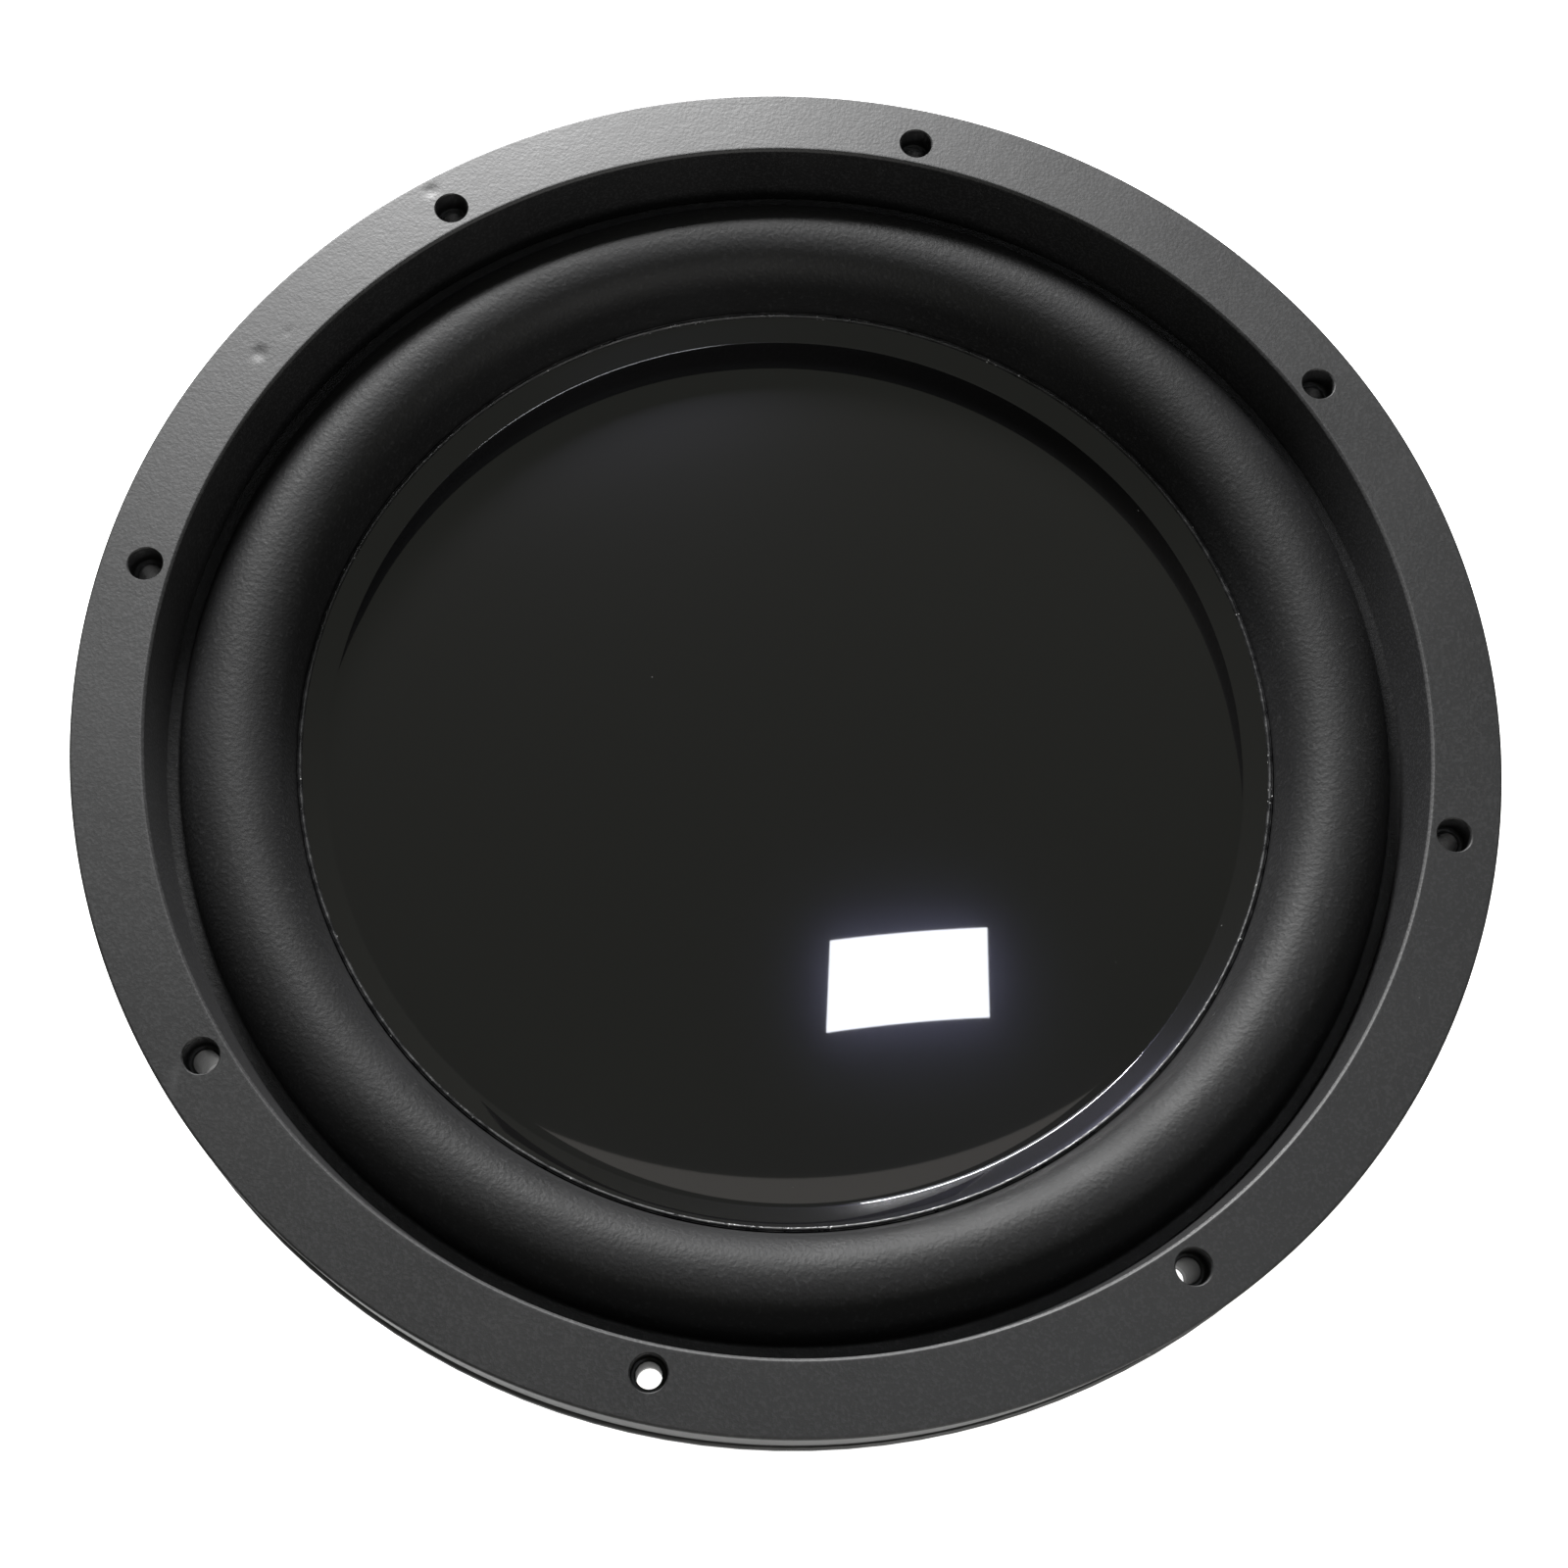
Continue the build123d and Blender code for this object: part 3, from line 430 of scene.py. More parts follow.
def boot_rubber():
    """Soft black rubber with a leathery grain and grey bloom in patches."""
    f = Finish("boot_rubber_skin", (0.013, 0.013, 0.0135), 0.62)
    f.tint(f.between(f.noise(0.03, 5), 0.5, 0.8), (0.026, 0.026, 0.027))
    f.drive("Roughness", f.between(f.noise(0.02, 3), 0.3, 0.7, 0.55, 0.72))
    f.bump(f.cells(0.0009)["Distance"], 0.00004)
    f.bump(f.noise(0.004, 3), 0.00005)
    return f.material


def glossy_button(name, colour):
    """Coloured push-button plastic, slightly satin, with darker handling marks."""
    f = Finish(name, colour, 0.3)
    marks = f.noise(0.004, 5)
    f.tint(f.between(marks, 0.55, 0.8), [c * 0.6 for c in colour])
    f.drive("Roughness", f.between(marks, 0.3, 0.7, 0.24, 0.42))
    f.bump(f.noise(0.0006, 2), 0.00001)
    return f.material


def former_film():
    """Amber polyimide film wound in a slight spiral."""
    f = Finish("former_film", (0.36, 0.13, 0.02), 0.28, Coat_Weight=0.4)
    bands = f.waves(0.004, direction="Z", wobble=0.3)
    f.tint(f.between(bands, 0.4, 0.9), (0.26, 0.085, 0.012))
    f.drive("Roughness", f.between(f.noise(0.003, 3), 0.3, 0.7, 0.22, 0.38))
    f.bump(bands, 0.00002)
    return f.material


def enamelled_copper():
    """Copper wire under clear enamel, darker between the turns."""
    f = Finish("enamelled_copper", (0.72, 0.28, 0.12), 0.26, Metallic=1.0)
    f.tint(f.between(f.noise(0.004, 4), 0.45, 0.8), (0.50, 0.16, 0.06))
    f.drive("Roughness", f.between(f.noise(0.002, 3), 0.3, 0.7, 0.2, 0.38))
    f.bump(f.noise(0.0005, 2), 0.00001)
    return f.material


def tinsel_braid():
    """Tinned copper tinsel, twisted: bright strands with dull gaps."""
    f = Finish("tinsel_braid", (0.62, 0.58, 0.52), 0.34, Metallic=1.0)
    strands = f.noise(0.0005, 3)
    f.tint(f.between(strands, 0.45, 0.65), (0.34, 0.27, 0.2))
    f.drive("Roughness", f.between(strands, 0.3, 0.7, 0.28, 0.5))
    f.bump(strands, 0.00005)
    return f.material


def floor_paint():
    """A plain pale floor with a barely visible mottle."""
    f = Finish("pale_floor", (0.86, 0.86, 0.86), 0.85)
    f.shader.inputs["Emission Color"].default_value = (1, 1, 1, 1)
    f.shader.inputs["Emission Strength"].default_value = 0.8
    f.tint(f.between(f.noise(0.2, 3), 0.4, 0.7), (0.84, 0.84, 0.84))
    return f.material


# ================================================================ mesh tools
def arc(centre, radius, start, end, steps):
    """Points on an arc in the profile plane; angles in degrees from the outward direction."""
    points = []
    for k in range(steps + 1):
        a = math.radians(start + (end - start) * k / steps)
        points.append((centre[0] + radius * math.cos(a), centre[1] + radius * math.sin(a)))
    return points


def spaced(a, b, steps):
    """Points from a up to but not including b, evenly spaced."""
    return [(a[0] + (b[0] - a[0]) * k / steps, a[1] + (b[1] - a[1]) * k / steps) for k in range(steps)]


def finished_mesh(bm, name, sharp_angle):
    bmesh.ops.remove_doubles(bm, verts=bm.verts, dist=1e-7)
    bmesh.ops.recalc_face_normals(bm, faces=bm.faces)
    mesh = bpy.data.meshes.new(name)
    bm.to_mesh(mesh)
    bm.free()
    mesh.shade_smooth()
    mesh.set_sharp_from_angle(angle=math.radians(sharp_angle))
    return mesh


def lathe(name, profile, segments=360, sharp_angle=35, move=None):
    """A closed profile of (radius, height) points in mm, turned about Z. move(v) may shift each vertex."""
    bm = bmesh.new()
    columns = []
    for s in range(segments):
        a = TURN * s / segments
        c, d = math.cos(a) * MM, math.sin(a) * MM
        columns.append([bm.verts.new((r * c, r * d, z * MM)) for r, z in profile])
    count = len(profile)
    for s in range(segments):
        here, there = columns[s], columns[(s + 1) % segments]
        for k in range(count):
            n = (k + 1) % count
            if profile[k][0] < 1e-6 and profile[n][0] < 1e-6:
                continue
            bm.faces.new((here[k], here[n], there[n], there[k]))
    if move:
        for v in bm.verts:
            move(v)
    return finished_mesh(bm, name, sharp_angle)


def tube(bm, points, radius, sides=8, closed=False):
    """A round tube along points, added to bm, with flat ends unless it closes on itself."""
    count = len(points)
    rings = []
    across = None
    for k, p in enumerate(points):
        before = points[(k - 1) % count] if closed or k else p
        after = points[(k + 1) % count] if closed or k < count - 1 else p
        along = (after - before).normalized()
        if across is None:
            across = along.orthogonal().normalized()
        across = (across - along * across.dot(along)).normalized()
        other = along.cross(across)
        ring = []
        for i in range(sides):
            a = TURN * i / sides
            ring.append(bm.verts.new(p + (across * math.cos(a) + other * math.sin(a)) * radius))
        rings.append(ring)
    for k in range(count if closed else count - 1):
        here, there = rings[k], rings[(k + 1) % count]
        for i in range(sides):
            n = (i + 1) % sides
            bm.faces.new((here[i], here[n], there[n], there[i]))
    if not closed:
        bm.faces.new(rings[0][::-1])
        bm.faces.new(rings[-1])


def add_piece(name, mesh, material, slot, body, *replaced):
    """A new piece that stands for CAD nodes and rides on a body, or on none."""
    piece = bpy.data.objects.new(name, mesh)
    scene.collection.objects.link(piece)
    mesh.materials.append(material)
    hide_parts(*replaced)
    if body:
        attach(piece, body)
    return piece


def smooth_step(t):
    t = min(max(t, 0.0), 1.0)
    return t * t * (3 - 2 * t)


def blend_by(piece, share):
    """The piece's transform is baked and weights are worked out from share(place), 0 on the chassis and 1 on
    the cone; nothing uses them, so the piece does not bend.
    """
    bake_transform(piece)
    weights = [smooth_step(share(v.co)) for v in piece.data.vertices]


def round_share(outer, inner):
    """A share that goes from 0 at the outer radius to 1 at the inner one, in mm."""
    return lambda place: (outer - math.hypot(place.x, place.y) / MM) / (outer - inner)


# ================================================================ trim ring
RING_BORE_R = 143.0
RING_BORE_LOW_R = 141.8
RING_FOOT_R = 145.2
RING_STEP_Z = 4.65
RING_ROUND = 0.6
FACE_STEPS = 42
FOOT_ROUND = 0.35
OUTER_EDGE_BEVEL = 0.25
BOLT_CIRCLE_R = 149.0
BOLT_COUNT = 8
BOLT_HOLE_R = 2.75
RECESS_R = 3.85
RECESS_DEPTH = 6.4
HOLE_BEVEL = 0.3
MOUTH_FLARE = 0.25
CUT_PAST = 1.0
# Small knocks in the ring's face: angle in degrees, radius, width and depth in mm.
DENTS = [(157.6, 150.2, 2.6, 0.30), (135.6, 155.6, 2.4, 0.22), (154.5, 148.6, 1.5, 0.10)]


def ring_profile():
    """The trim ring's section: rounded top, flat face, bevelled bore, stepped foot and outer wall."""
    top = RING_TOP_Z
    corner_r = RING_BORE_R + RING_ROUND
    rounding = arc((RING_R - RING_ROUND, top - RING_ROUND), RING_ROUND, 0, 90, 6)
    face = spaced((RING_R - RING_ROUND - 0.1, top), (corner_r + 0.12, top), FACE_STEPS)
    chamfer = [
        (corner_r + 0.10, top - 0.004),
        (corner_r, top - 0.03),
        (corner_r - 0.1, top - 0.1),
        (RING_BORE_R + 0.08, top - RING_ROUND + 0.1),
        (RING_BORE_R + 0.02, top - RING_ROUND),
        (RING_BORE_R - 0.01, top - RING_ROUND - 0.15),
    ]
    wall = spaced((RING_BORE_R - 0.02, top - 1.2), (RING_BORE_LOW_R, RING_STEP_Z + FOOT_ROUND), 12)
    foot = arc((RING_BORE_LOW_R + FOOT_ROUND, RING_STEP_Z + FOOT_ROUND), FOOT_ROUND, 180, 270, 4)
    under = [
        (RING_FOOT_R, RING_STEP_Z),
        (RING_FOOT_R, FLANGE_TOP_Z),
        (RING_R - OUTER_EDGE_BEVEL, FLANGE_TOP_Z),
        (RING_R, FLANGE_TOP_Z + OUTER_EDGE_BEVEL),
    ]
    side = spaced((RING_R, FLANGE_TOP_Z + 2 * OUTER_EDGE_BEVEL), (RING_R, top - RING_ROUND), 6)
    return side + rounding + face + chamfer + wall + foot + under


def knock_dents(v):
    """Presses each dent into the ring's face as a smooth shallow hollow."""
    if v.co.z < (RING_TOP_Z - 0.05) * MM:
        return
    for angle, radius, width, depth in DENTS:
        a = math.radians(angle)
        gap = math.hypot(v.co.x / MM - radius * math.cos(a), v.co.y / MM - radius * math.sin(a)) / width
        if gap < 1:
            v.co.z -= depth * MM * (1 - gap * gap) ** 2


def screw_cutter():
    """Eight counterbored screw holes, each with a small chamfer at its mouth."""
    top = RING_TOP_Z
    floor = top - RECESS_DEPTH
    profile = [
        (0, top + CUT_PAST),
        (RECESS_R + MOUTH_FLARE, top + CUT_PAST),
        (RECESS_R + MOUTH_FLARE, top),
        (RECESS_R, top - HOLE_BEVEL),
        (RECESS_R, floor + HOLE_BEVEL),
        (RECESS_R - HOLE_BEVEL, floor),
        (BOLT_HOLE_R + HOLE_BEVEL, floor),
        (BOLT_HOLE_R, floor - HOLE_BEVEL),
        (BOLT_HOLE_R, FLANGE_TOP_Z - CUT_PAST),
        (0, FLANGE_TOP_Z - CUT_PAST),
    ]
    bm = bmesh.new()
    for hole in range(BOLT_COUNT):
        a = TURN * hole / BOLT_COUNT
        at = Vector((BOLT_CIRCLE_R * math.cos(a), BOLT_CIRCLE_R * math.sin(a), 0)) * MM
        one = lathe("screw_hole", profile, segments=48)
        one.transform(Matrix.Translation(at))
        bm.from_mesh(one)
        bpy.data.meshes.remove(one)
    return finished_mesh(bm, "screw_holes", 35)


def build_trim_ring():
    """Tall moulded ring with eight screw holes cut through it."""
    solid = bpy.data.objects.new("ring_blank", lathe("ring_blank", ring_profile(), 960, move=knock_dents))
    cutter = bpy.data.objects.new("ring_cutter", screw_cutter())
    for o in (solid, cutter):
        scene.collection.objects.link(o)
    cut = solid.modifiers.new("screw_holes", "BOOLEAN")
    cut.operation = "DIFFERENCE"
    cut.solver = "EXACT"
    cut.object = cutter
    bpy.context.view_layer.update()
    mesh = bpy.data.meshes.new_from_object(solid.evaluated_get(bpy.context.evaluated_depsgraph_get()))
    mesh.materials.clear()
    mesh.shade_smooth()
    mesh.set_sharp_from_angle(angle=math.radians(32))
    for o in (solid, cutter):
        bpy.data.objects.remove(o)
    add_piece("trim_ring_moulding", mesh, ring_plastic(), "trim_plastic", CHASSIS, "trim_ring")


# ================================================================ surround and dust cap
LIP_T = 1.5
GLUED_LIP_T = 1.3
ROLL_CENTRE = (127.3, 2.7)
ROLL_R = 11.7
ROLL_FOOT_ANGLE = 8.84
FLANK_ANGLE = 170
JUNCTION = (114.06, -5.0)
LIP_END_R = 106.0
LIP_TOP_Z = 4.5
CREASE_R = 108.1
CREASE_Z = -7.3
RIM_RISE = 0.375
VALLEY_Z = -7.7
VALLEY_ROUND = 0.6
VALLEY_RISE = 0.80
DOME_CURVE = 0.00202
DOME_FLATTENING = 4.135e-8
RIM_T = 1.7
RIM_EDGE = 0.1
CAP_T = 2.0
CAP_INSET = 0.6
GLUE_GAP = 0.15
STILL_RUBBER = 7.0


def rim_z(radius, drop):
    """Height a given drop below the slope that the rubber's lip and the cone's edge lie on."""
    return CREASE_Z + (radius - CREASE_R) * RIM_RISE - drop


def dome_fall(radius):
    """How far the cap's dome has fallen at that radius: a shallow ball that flattens towards the crease."""
    return DOME_CURVE * radius**2 / 2 - DOME_FLATTENING * radius**4 / 4


def dome_slope(radius):
    """How steeply the cap's dome falls at that radius."""
    return DOME_CURVE * radius - DOME_FLATTENING * radius**3


def on_roll(radius, angle):
    return arc(ROLL_CENTRE, radius, angle, angle, 1)[0]


def build_surround():
    """Rubber half roll: outer lip, roll, steep inner flank and the lip glued under the cap's rim."""
    drop = RIM_T + GLUE_GAP
    under = drop + GLUED_LIP_T
    foot = on_roll(ROLL_R, ROLL_FOOT_ANGLE)
    profile = spaced((SURROUND_R, LIP_TOP_Z), (foot[0] + 1.2, LIP_TOP_Z), 4)
    profile += [(foot[0] + 0.7, LIP_TOP_Z - 0.03), (foot[0] + 0.25, LIP_TOP_Z + 0.02)]
    profile += arc(ROLL_CENTRE, ROLL_R, ROLL_FOOT_ANGLE + 2, FLANK_ANGLE, 64)
    top = profile[-1]
    profile += spaced(top, (JUNCTION[0], JUNCTION[1] + 0.5), 8)[1:]
    corner, bend, heel = JUNCTION[0] - 0.1, JUNCTION[0] - 0.4, JUNCTION[0] + 1.2
    profile += [JUNCTION, (corner, rim_z(corner, drop) + 0.2)]
    profile += [(bend, rim_z(bend, drop)), (LIP_END_R, rim_z(LIP_END_R, drop))]
    profile += [(LIP_END_R, rim_z(LIP_END_R, under)), (heel, rim_z(heel, under))]
    inner_top = on_roll(ROLL_R - LIP_T, FLANK_ANGLE)
    profile += spaced(profile[-1], inner_top, 8)[1:]
    profile += arc(ROLL_CENTRE, ROLL_R - LIP_T, FLANK_ANGLE, 2.2, 56)
    profile += [(profile[-1][0], LIP_TOP_Z - LIP_T), (SURROUND_R, LIP_TOP_Z - LIP_T)]
    piece = add_piece(
        "surround_roll", lathe("surround_roll", profile, 480, 50), surround_rubber(), "surround_rubber",
        None, "surround",
    )
    blend_by(piece, round_share(SURROUND_R - STILL_RUBBER, JUNCTION[0] + 1))


def valley_arc():
    """The rounded valley between the dome and the rising rim."""
    fall = math.atan(dome_slope(CREASE_R))
    climb = math.atan(VALLEY_RISE)
    reach = VALLEY_ROUND * math.tan((fall + climb) / 2)
    first = (CREASE_R - reach * math.cos(fall), VALLEY_Z + reach * math.sin(fall))
    centre = (first[0] + VALLEY_ROUND * math.sin(fall), first[1] + VALLEY_ROUND * math.cos(fall))
    return arc(centre, VALLEY_ROUND, 270 - math.degrees(fall), 270 + math.degrees(climb), 12)


def cap_rim_z(radius):
    """Height of the cap's rim, which rises outwards from the valley."""
    return VALLEY_Z + (radius - CREASE_R) * VALLEY_RISE


def build_dust_cap():
    """Shallow gloss dome with a sharp valley and a rim that rises towards the surround."""
    apex = VALLEY_Z + dome_fall(CREASE_R)
    valley = valley_arc()
    dome = [(r, apex - dome_fall(r)) for r in (valley[0][0] * k / 64 for k in range(64))]
    rim_start = valley[-1][0] + 0.2
    rim_end = CAP_R - RIM_EDGE
    rim = spaced((rim_start, cap_rim_z(rim_start)), (rim_end, cap_rim_z(rim_end)), 6)
    edge = [(CAP_R, cap_rim_z(rim_end) - drop) for drop in (0, 0.15, 0.5)]
    inside_r = CREASE_R - CAP_INSET
    inside = [(r, apex - CAP_T - dome_fall(r)) for r in (inside_r * k / 12 for k in range(12, -1, -1))]
    under_r = CREASE_R + CAP_INSET
    under = [(CAP_R - 0.15, rim_z(CAP_R, RIM_T)), (under_r, rim_z(under_r, RIM_T))]
    mesh = lathe("dust_cap_shell", dome + valley + rim + edge + under + inside, 480, 50)
    add_piece("dust_cap_shell", mesh, cap_gloss(), "cap_gloss", CONE, "dust_cap")


BEAD_R = 0.45
# Fine and coarse lumps of the glue: how many in a metre, and their height in metres.
LUMPS = [(900, 0.00008), (160, 0.00006)]


def build_glue_bead():
    """The uneven bead of glue in the gap between the cap's rim and the rubber."""
    top = cap_rim_z(CAP_R) - 0.3
    profile = [(CAP_R - 0.55, top - 0.22)]
    profile += arc((CAP_R - 0.05, top + 0.05), BEAD_R, 170, 20, 10)
    profile += [(CAP_R + 0.5, top + 0.4), (CAP_R + 0.5, top + 0.1), (CAP_R, top - 0.02)]

    def lump(v):
        v.co.z += sum(noise.noise(v.co * count) * height for count, height in LUMPS)

    mesh = lathe("glue_bead", profile, 1440, 70, lump)
    add_piece("glue_bead", mesh, glue_black(), "glue", CONE, "cap_glue_bead")


# ================================================================ cone, coil and spider
EDGE_DROP = RIM_T + GLUED_LIP_T + 2 * GLUE_GAP
CONE_T = 1.6
CONE_STEPS = 60
SHOULDER_R = 103.5
NECK_R = 32.6
NECK_TOP_Z = -61.4
NECK_LOW_Z = -67.0
SPIDER_Z = -73.3
SPIDER_T = 0.8
SPIDER_START_R = 33.8
SPIDER_ROLLS = 9
SPIDER_PITCH = 4.0
SPIDER_R = 78.0
SPIDER_NECK = (32.6, 33.6, -69.8, -77.6)
SPIDER_WAVE_H = 1.2
SPIDER_STILL_R = 70
SPIDER_MOVING_R = 34
WIRE_PITCH = 0.8
WINDING_T = 0.9


def build_cone():
    """Pulp cone: sloping edge, straight wall and a neck round the former."""
    edge_r, _, _ = node_size("cone")
    shoulder_z = rim_z(SHOULDER_R, EDGE_DROP)
    back_r, back_drop = SHOULDER_R + 1, EDGE_DROP + CONE_T
    wall = spaced((NECK_R, NECK_TOP_Z), (SHOULDER_R, shoulder_z), CONE_STEPS)
    top = wall + [(SHOULDER_R, shoulder_z), (edge_r, rim_z(edge_r, EDGE_DROP))]
    low = [(edge_r, rim_z(edge_r, back_drop)), (back_r, rim_z(back_r, back_drop))]
    outside = spaced(low[-1], (NECK_R + CONE_T, NECK_TOP_Z - CONE_T), CONE_STEPS)[1:]
    neck = [(NECK_R + CONE_T, NECK_TOP_Z - CONE_T), (NECK_R + CONE_T, NECK_LOW_Z), (NECK_R, NECK_LOW_Z)]
    mesh = lathe("cone_body", top + low + outside + neck, 360, 30)
    add_piece("cone_body", mesh, pulp(), "cone_pulp", CONE, "cone")


def build_windings():
    """Two layers of round wire: each turn shows as a bead along the layer."""
    copper = enamelled_copper()
    for name in ("inner_coil_winding", "outer_coil_winding"):
        outer, low, high = node_size(name)
        turns = round((high - low) / WIRE_PITCH)
        pitch = (high - low) / turns
        bead = pitch / 2
        profile = []
        for k in range(turns):
            centre = (outer - bead, low + (k + 0.5) * pitch)
            profile += arc(centre, bead, -80, 80, 5)
        inner = outer - WINDING_T
        profile += [(inner, high), (inner, low)]
        mesh = lathe(name + "_turns", profile, 180, 80)
        add_piece(name + "_turns", mesh, copper, "copper", CONE, name)


def spider_wave(radius):
    """Height of the spider's upper face at a radius: half waves that go down and up in turn."""
    t = (radius - SPIDER_START_R) / SPIDER_PITCH
    if not 0 < t < SPIDER_ROLLS:
        return SPIDER_Z
    sign = 1 if int(t) % 2 else -1
    return SPIDER_Z + sign * SPIDER_WAVE_H * math.sin(math.pi * (t - int(t)))


def build_spider():
    """Corrugated cloth disc between the former and the basket's landing."""
    neck_in, neck_out, neck_top, neck_low = SPIDER_NECK
    steps = SPIDER_ROLLS * 10
    end_r = SPIDER_START_R + SPIDER_ROLLS * SPIDER_PITCH
    waves = [SPIDER_START_R + (end_r - SPIDER_START_R) * k / steps for k in range(steps + 1)]
    top = [(r, spider_wave(r)) for r in waves] + [(SPIDER_R, SPIDER_Z)]
    low = [(r, z - SPIDER_T) for r, z in top[::-1]]
    neck = [(neck_out, SPIDER_Z - SPIDER_T), (neck_out, neck_low), (neck_in, neck_low)]
    neck += [(neck_in, neck_top), (neck_out, neck_top), (neck_out, SPIDER_Z)]
    piece = add_piece(
        "spider_disc", lathe("spider_disc", top + low + neck, 360, 50), spider_cloth(), "spider_cloth",
        None, "spider",
    )
    blend_by(piece, round_share(SPIDER_STILL_R, SPIDER_MOVING_R))


# ================================================================ tinsel leads
# One lead's route from its solder tab to the cone's neck: outwards, sideways and height, in mm.
LEAD_ROUTE = [
    (85.0, 8.5, -59.6),
    (73.0, 8.6, -57.2),
    (60.5, 8.2, -60.6),
    (49.0, 7.5, -66.2),
    (37.0, 6.8, -66.4),
]
LEAD_STRANDS = 5
LEAD_R = 1.0
STRAND_R = 0.42
TWIST_PITCH = 7.0


def smooth_route(route):
    """Points along a smooth NURBS line through the space of the route, in metres."""
    data = bpy.data.curves.new("route", "CURVE")
    data.dimensions = "3D"
    data.resolution_u = 24
    spline = data.splines.new("NURBS")
    spline.points.add(len(route) - 1)
    for point, place in zip(spline.points, route):
        point.co = (*place, 1)
    spline.order_u = 3
    spline.use_endpoint_u = True
    holder = bpy.data.objects.new("route", data)
    scene.collection.objects.link(holder)
    bpy.context.view_layer.update()
    mesh = bpy.data.meshes.new_from_object(holder.evaluated_get(bpy.context.evaluated_depsgraph_get()))
    points = [v.co.copy() for v in mesh.vertices]
    bpy.data.objects.remove(holder)
    return points


def build_leads():
    """Four twisted leads: strands wound round each route."""
    braid = tinsel_braid()
    outer, inner = LEAD_ROUTE[0][0] - 1, LEAD_ROUTE[-1][0] + 1
    for side, angle in SIDES.items():
        turn = Matrix.Rotation(math.radians(angle), 3, "Z")
        for colour, hand in POSTS.items():
            route = [turn @ Vector((x, y * hand, z)) * MM for x, y, z in LEAD_ROUTE]
            line = smooth_route(route)
            bm = bmesh.new()
            for strand in range(LEAD_STRANDS):
                run = 0.0
                points = []
                for k, p in enumerate(line):
                    along = (line[min(k + 1, len(line) - 1)] - line[max(k - 1, 0)]).normalized()
                    run += (p - line[k - 1]).length / MM if k else 0
                    across = along.cross(Vector((0, 0, 1))).normalized()
                    other = along.cross(across)
                    a = TURN * (strand / LEAD_STRANDS + run / TWIST_PITCH)
                    outward = across * math.cos(a) + other * math.sin(a)
                    points.append(p + outward * (LEAD_R - STRAND_R) * MM)
                tube(bm, points, STRAND_R * MM, 7)
            node = f"tinsel_lead_{colour}_{side}"
            mesh = finished_mesh(bm, node, 60)
            piece = add_piece(node + "_strands", mesh, braid, "lead_braid", None, node)
            blend_by(piece, round_share(outer, inner))


# ================================================================ motor
BOOT_RIBS = 9
RIB_DEPTH = 0.8
RIB_BAND = 0.62
BOOT_WALL = 3
BOOT_LIP_T = 1.4
BOOT_BACK_R = 76.0
BOOT_MOUTH_R = 84.0
BOOT_BACK_ROUND = 3
BOOT_FRONT_ROUND = 2


def build_boot():
    """Rubber boot round the magnets: rounded corners, a band of ribs and a lip at each end."""
    inner_r = BOOT_R - BOOT_WALL
    back_z = FLOOR_Z + BOOT_LIP_T
    front_z = BOOT_TOP_Z - BOOT_LIP_T
    rib_span = (BOOT_TOP_Z - FLOOR_Z) * RIB_BAND
    rib_low = (BOOT_TOP_Z + FLOOR_Z - rib_span) / 2
    profile = spaced((BOOT_BACK_R + 0.3, FLOOR_Z), (BOOT_R - 2 * BOOT_BACK_ROUND, FLOOR_Z), 3)
    profile += arc((BOOT_R - BOOT_BACK_ROUND, FLOOR_Z + BOOT_BACK_ROUND), BOOT_BACK_ROUND, 270, 360, 10)
    for rib in range(BOOT_RIBS):
        low = rib_low + rib_span * rib / BOOT_RIBS
        high = low + rib_span / BOOT_RIBS
        profile += [(BOOT_R, low + 0.3), (BOOT_R - 0.25, low + 0.5), (BOOT_R - RIB_DEPTH, low + 0.9)]
        profile += [(BOOT_R - RIB_DEPTH, low + 1.7), (BOOT_R - 0.25, low + 2.1), (BOOT_R, low + 2.3)]
        profile += [(BOOT_R, (low + 2.3 + high) / 2)]
    profile += arc((BOOT_R - BOOT_FRONT_ROUND, BOOT_TOP_Z - BOOT_FRONT_ROUND), BOOT_FRONT_ROUND, 0, 90, 8)
    profile += [(BOOT_MOUTH_R + 0.4, BOOT_TOP_Z), (BOOT_MOUTH_R, BOOT_TOP_Z - 0.4)]
    profile += [(BOOT_MOUTH_R, front_z), (inner_r, front_z)]
    profile += [(inner_r, back_z), (BOOT_BACK_R, back_z), (BOOT_BACK_R, FLOOR_Z + 0.3)]
    mesh = lathe("boot_sleeve", profile, 300, 40)
    add_piece("boot_sleeve", mesh, boot_rubber(), "boot_rubber", CHASSIS, "magnet_boot")


SCREEN_PITCH = 1.3
SCREEN_WIRE_R = 0.21
SCREEN_RIM_R = 0.44
SCREEN_RIM_INSET = 0.45


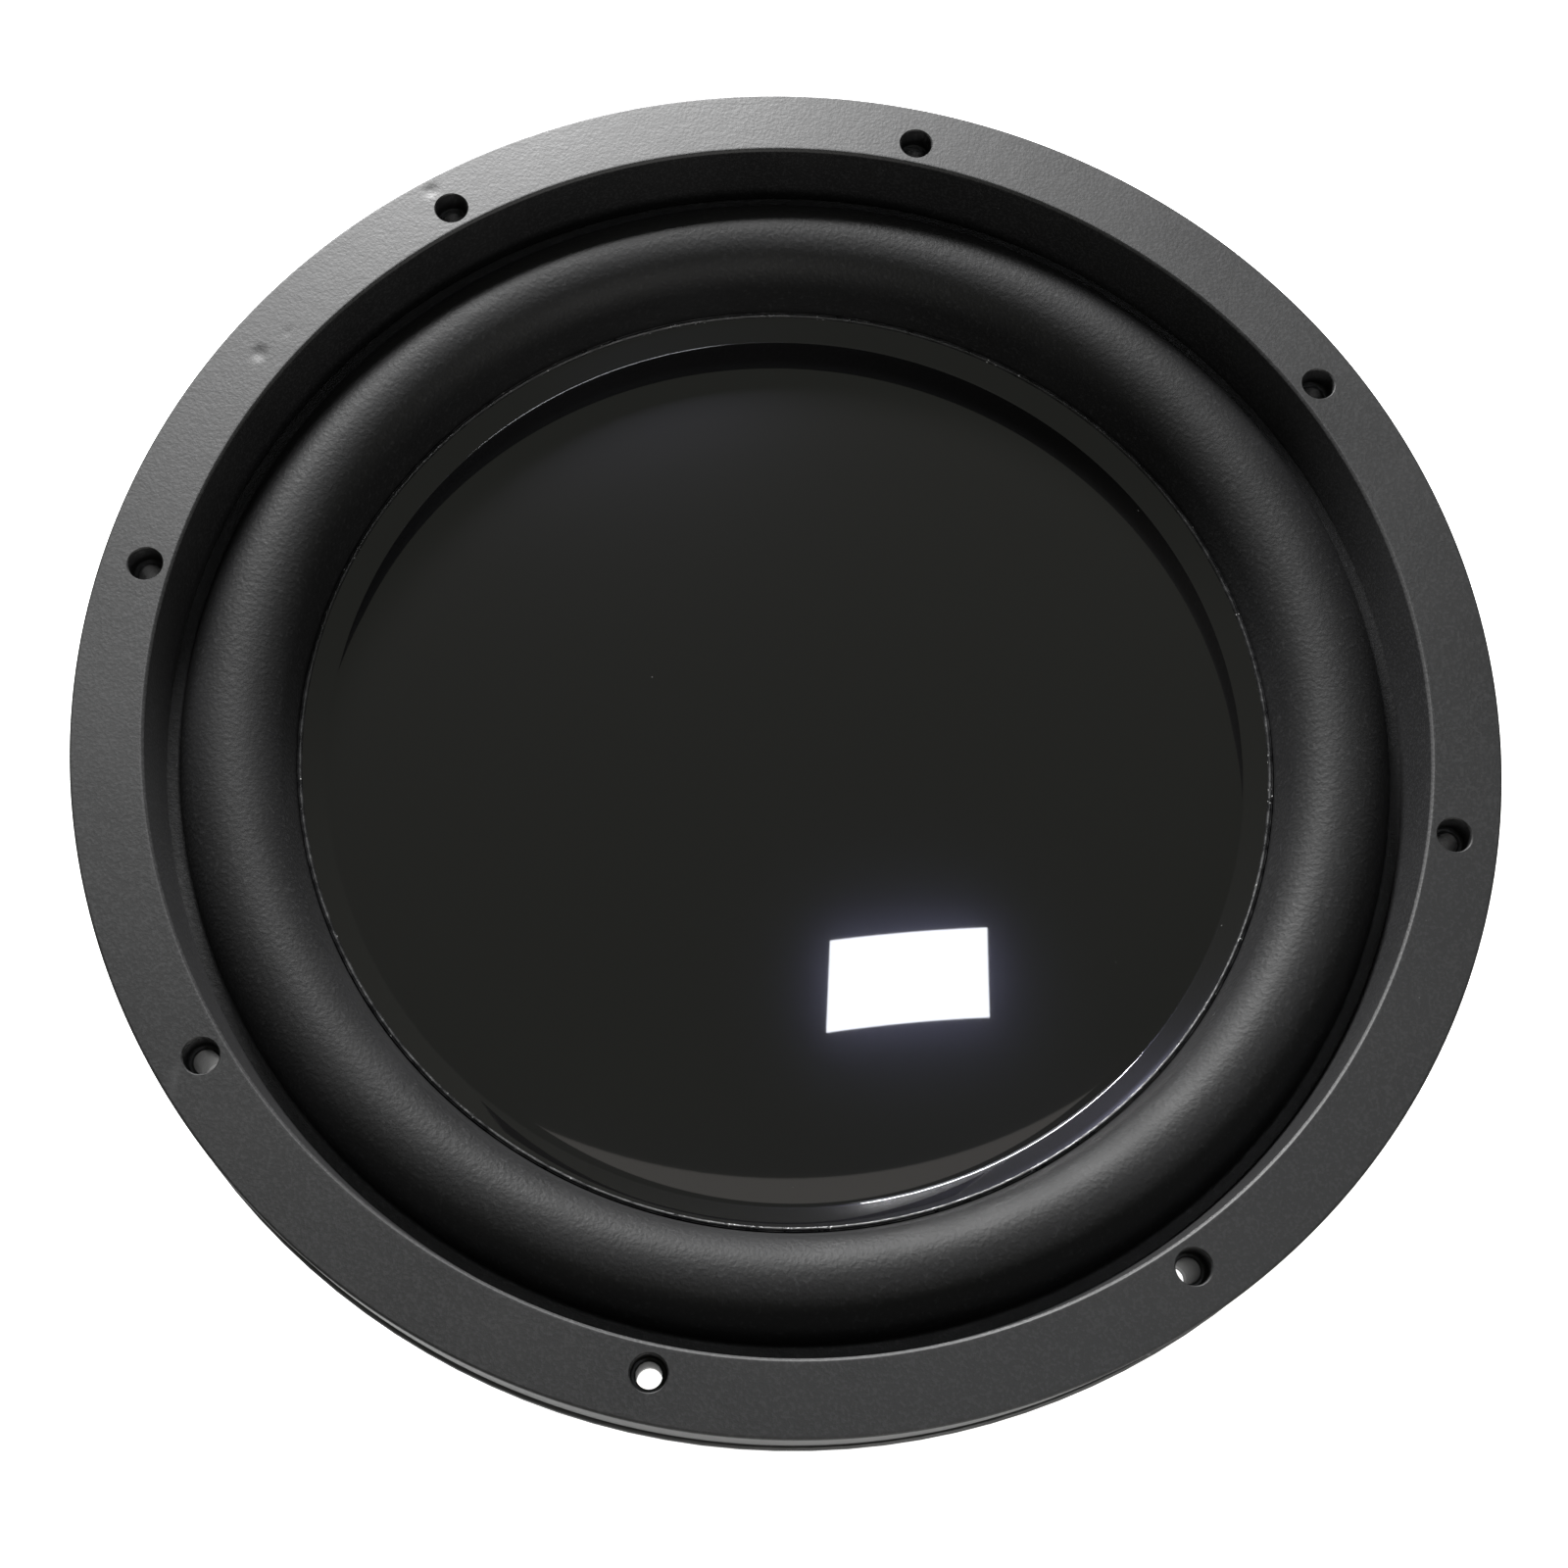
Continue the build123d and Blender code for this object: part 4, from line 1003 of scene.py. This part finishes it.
def build_vent_screen():
    """Woven wire screen over the pole vent, held by a rolled rim."""
    radius, low, high = node_size("vent_screen")
    middle = (low + high) / 2
    bm = bmesh.new()
    wires = int((radius - 0.8) / SCREEN_PITCH)
    for number in range(-wires, wires + 1):
        offset = number * SCREEN_PITCH
        half = math.sqrt((radius - 0.4) ** 2 - offset**2)
        steps = max(8, int(half * 2 / SCREEN_PITCH * 4))
        for swap in (False, True):
            points = []
            for k in range(steps + 1):
                s = -half + 2 * half * k / steps
                lift = math.cos(math.pi * (s / SCREEN_PITCH + number + swap)) * SCREEN_WIRE_R
                x, y = (offset, s) if swap else (s, offset)
                points.append(Vector((x, y, middle + lift)) * MM)
            tube(bm, points, SCREEN_WIRE_R * MM, 6)
    turns = [TURN * k / 72 for k in range(72)]
    rim = [Vector((math.cos(a), math.sin(a), 0)) * (radius - SCREEN_RIM_INSET) * MM for a in turns]
    tube(bm, [p + Vector((0, 0, middle * MM)) for p in rim], SCREEN_RIM_R * MM, 10, closed=True)
    mesh = finished_mesh(bm, "vent_gauze", 60)
    steel = plated("screen_wire", (0.42, 0.42, 0.43), 0.34)
    add_piece("vent_gauze", mesh, steel, "screen_steel", CHASSIS, "vent_screen")


# ================================================================ terminals
SPRING_TURNS = 6
SPRING_WIRE_R = 0.32


def build_springs():
    """Each push button's coil spring, wound between the block above it and the button below."""
    steel = plated("spring_wire", (0.55, 0.55, 0.56), 0.24)
    for side in SIDES:
        for colour in POSTS:
            node = f"button_spring_{colour}_{side}"
            low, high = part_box(node)
            middle = (low + high) / 2
            coil_r = (high.x - low.x) / 2 - SPRING_WIRE_R * MM
            rise = high.z - low.z - 2 * SPRING_WIRE_R * MM
            points = []
            steps = SPRING_TURNS * 20
            for k in range(steps + 1):
                a = TURN * SPRING_TURNS * k / steps
                z = low.z + SPRING_WIRE_R * MM + rise * k / steps
                points.append(Vector((middle.x + coil_r * math.cos(a), middle.y + coil_r * math.sin(a), z)))
            bm = bmesh.new()
            tube(bm, points, SPRING_WIRE_R * MM, 8)
            mesh = finished_mesh(bm, node, 60)
            piece = add_piece(node + "_coil", mesh, steel, "spring_steel", None, node)
            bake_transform(piece)


# ================================================================ CAD nodes that stay
def paint(material, *names):
    """Gives CAD nodes that stay this material alone."""
    for name in names:
        obj = nodes[name]
        obj.data.materials.clear()
        obj.data.materials.append(material)


def paint_cad_nodes():
    """Materials of the basket, the motor, the former and the terminals."""
    paint(powder_coat(), "basket")
    paint(turned_steel("yoke_steel", (0.30, 0.30, 0.31), 0.36), "t_yoke", "top_plate")
    paint(ferrite(), "front_magnet", "rear_magnet")
    paint(plated("sleeve_copper", (0.72, 0.30, 0.14), 0.28), "copper_pole_sleeve")
    paint(plated("cast_aluminium", (0.66, 0.66, 0.67), 0.38), "shorting_ring")
    paint(former_film(), "voice_coil_former")
    paint(glue_black(), "neck_glue_ring")
    paint(plated("bolt_zinc", (0.16, 0.16, 0.165), 0.34), "motor_bolts")
    paint(grained_plastic("collar_plastic", (0.03, 0.03, 0.03), 0.5), "lead_anchor_collar")
    block = grained_plastic("terminal_plastic_black", (0.016, 0.016, 0.017), 0.42)
    screw = plated("screw_zinc", (0.5, 0.5, 0.48), 0.3)
    brass = plated("contact_nickel", (0.72, 0.58, 0.30), 0.3)
    button = {
        "red": glossy_button("button_red_plastic", (0.48, 0.012, 0.012)),
        "black": glossy_button("button_black_plastic", (0.012, 0.012, 0.013)),
    }
    for side in SIDES:
        paint(block, f"terminal_block_{side}")
        paint(screw, f"terminal_screws_{side}")
        for colour in POSTS:
            paint(button[colour], f"push_button_{colour}_{side}")
            paint(brass, f"wire_contact_{colour}_{side}")


FLOOR_HALF = 6
FLOOR_CELLS = 24


def build_floor():
    """A wide level sheet under the speaker."""
    bm = bmesh.new()
    bmesh.ops.create_grid(bm, x_segments=FLOOR_CELLS, y_segments=FLOOR_CELLS, size=FLOOR_HALF)
    mesh = finished_mesh(bm, "floor", 30)
    floor = bpy.data.objects.new("floor", mesh)
    floor.location.z = FLOOR_Z * MM
    mesh.materials.append(floor_paint())
    scene.collection.objects.link(floor)


add_camera()
add_lights()
build_floor()
paint_cad_nodes()
build_trim_ring()
build_surround()
build_dust_cap()
build_glue_bead()
build_cone()
build_windings()
build_spider()
build_leads()
build_boot()
build_vent_screen()
build_springs()
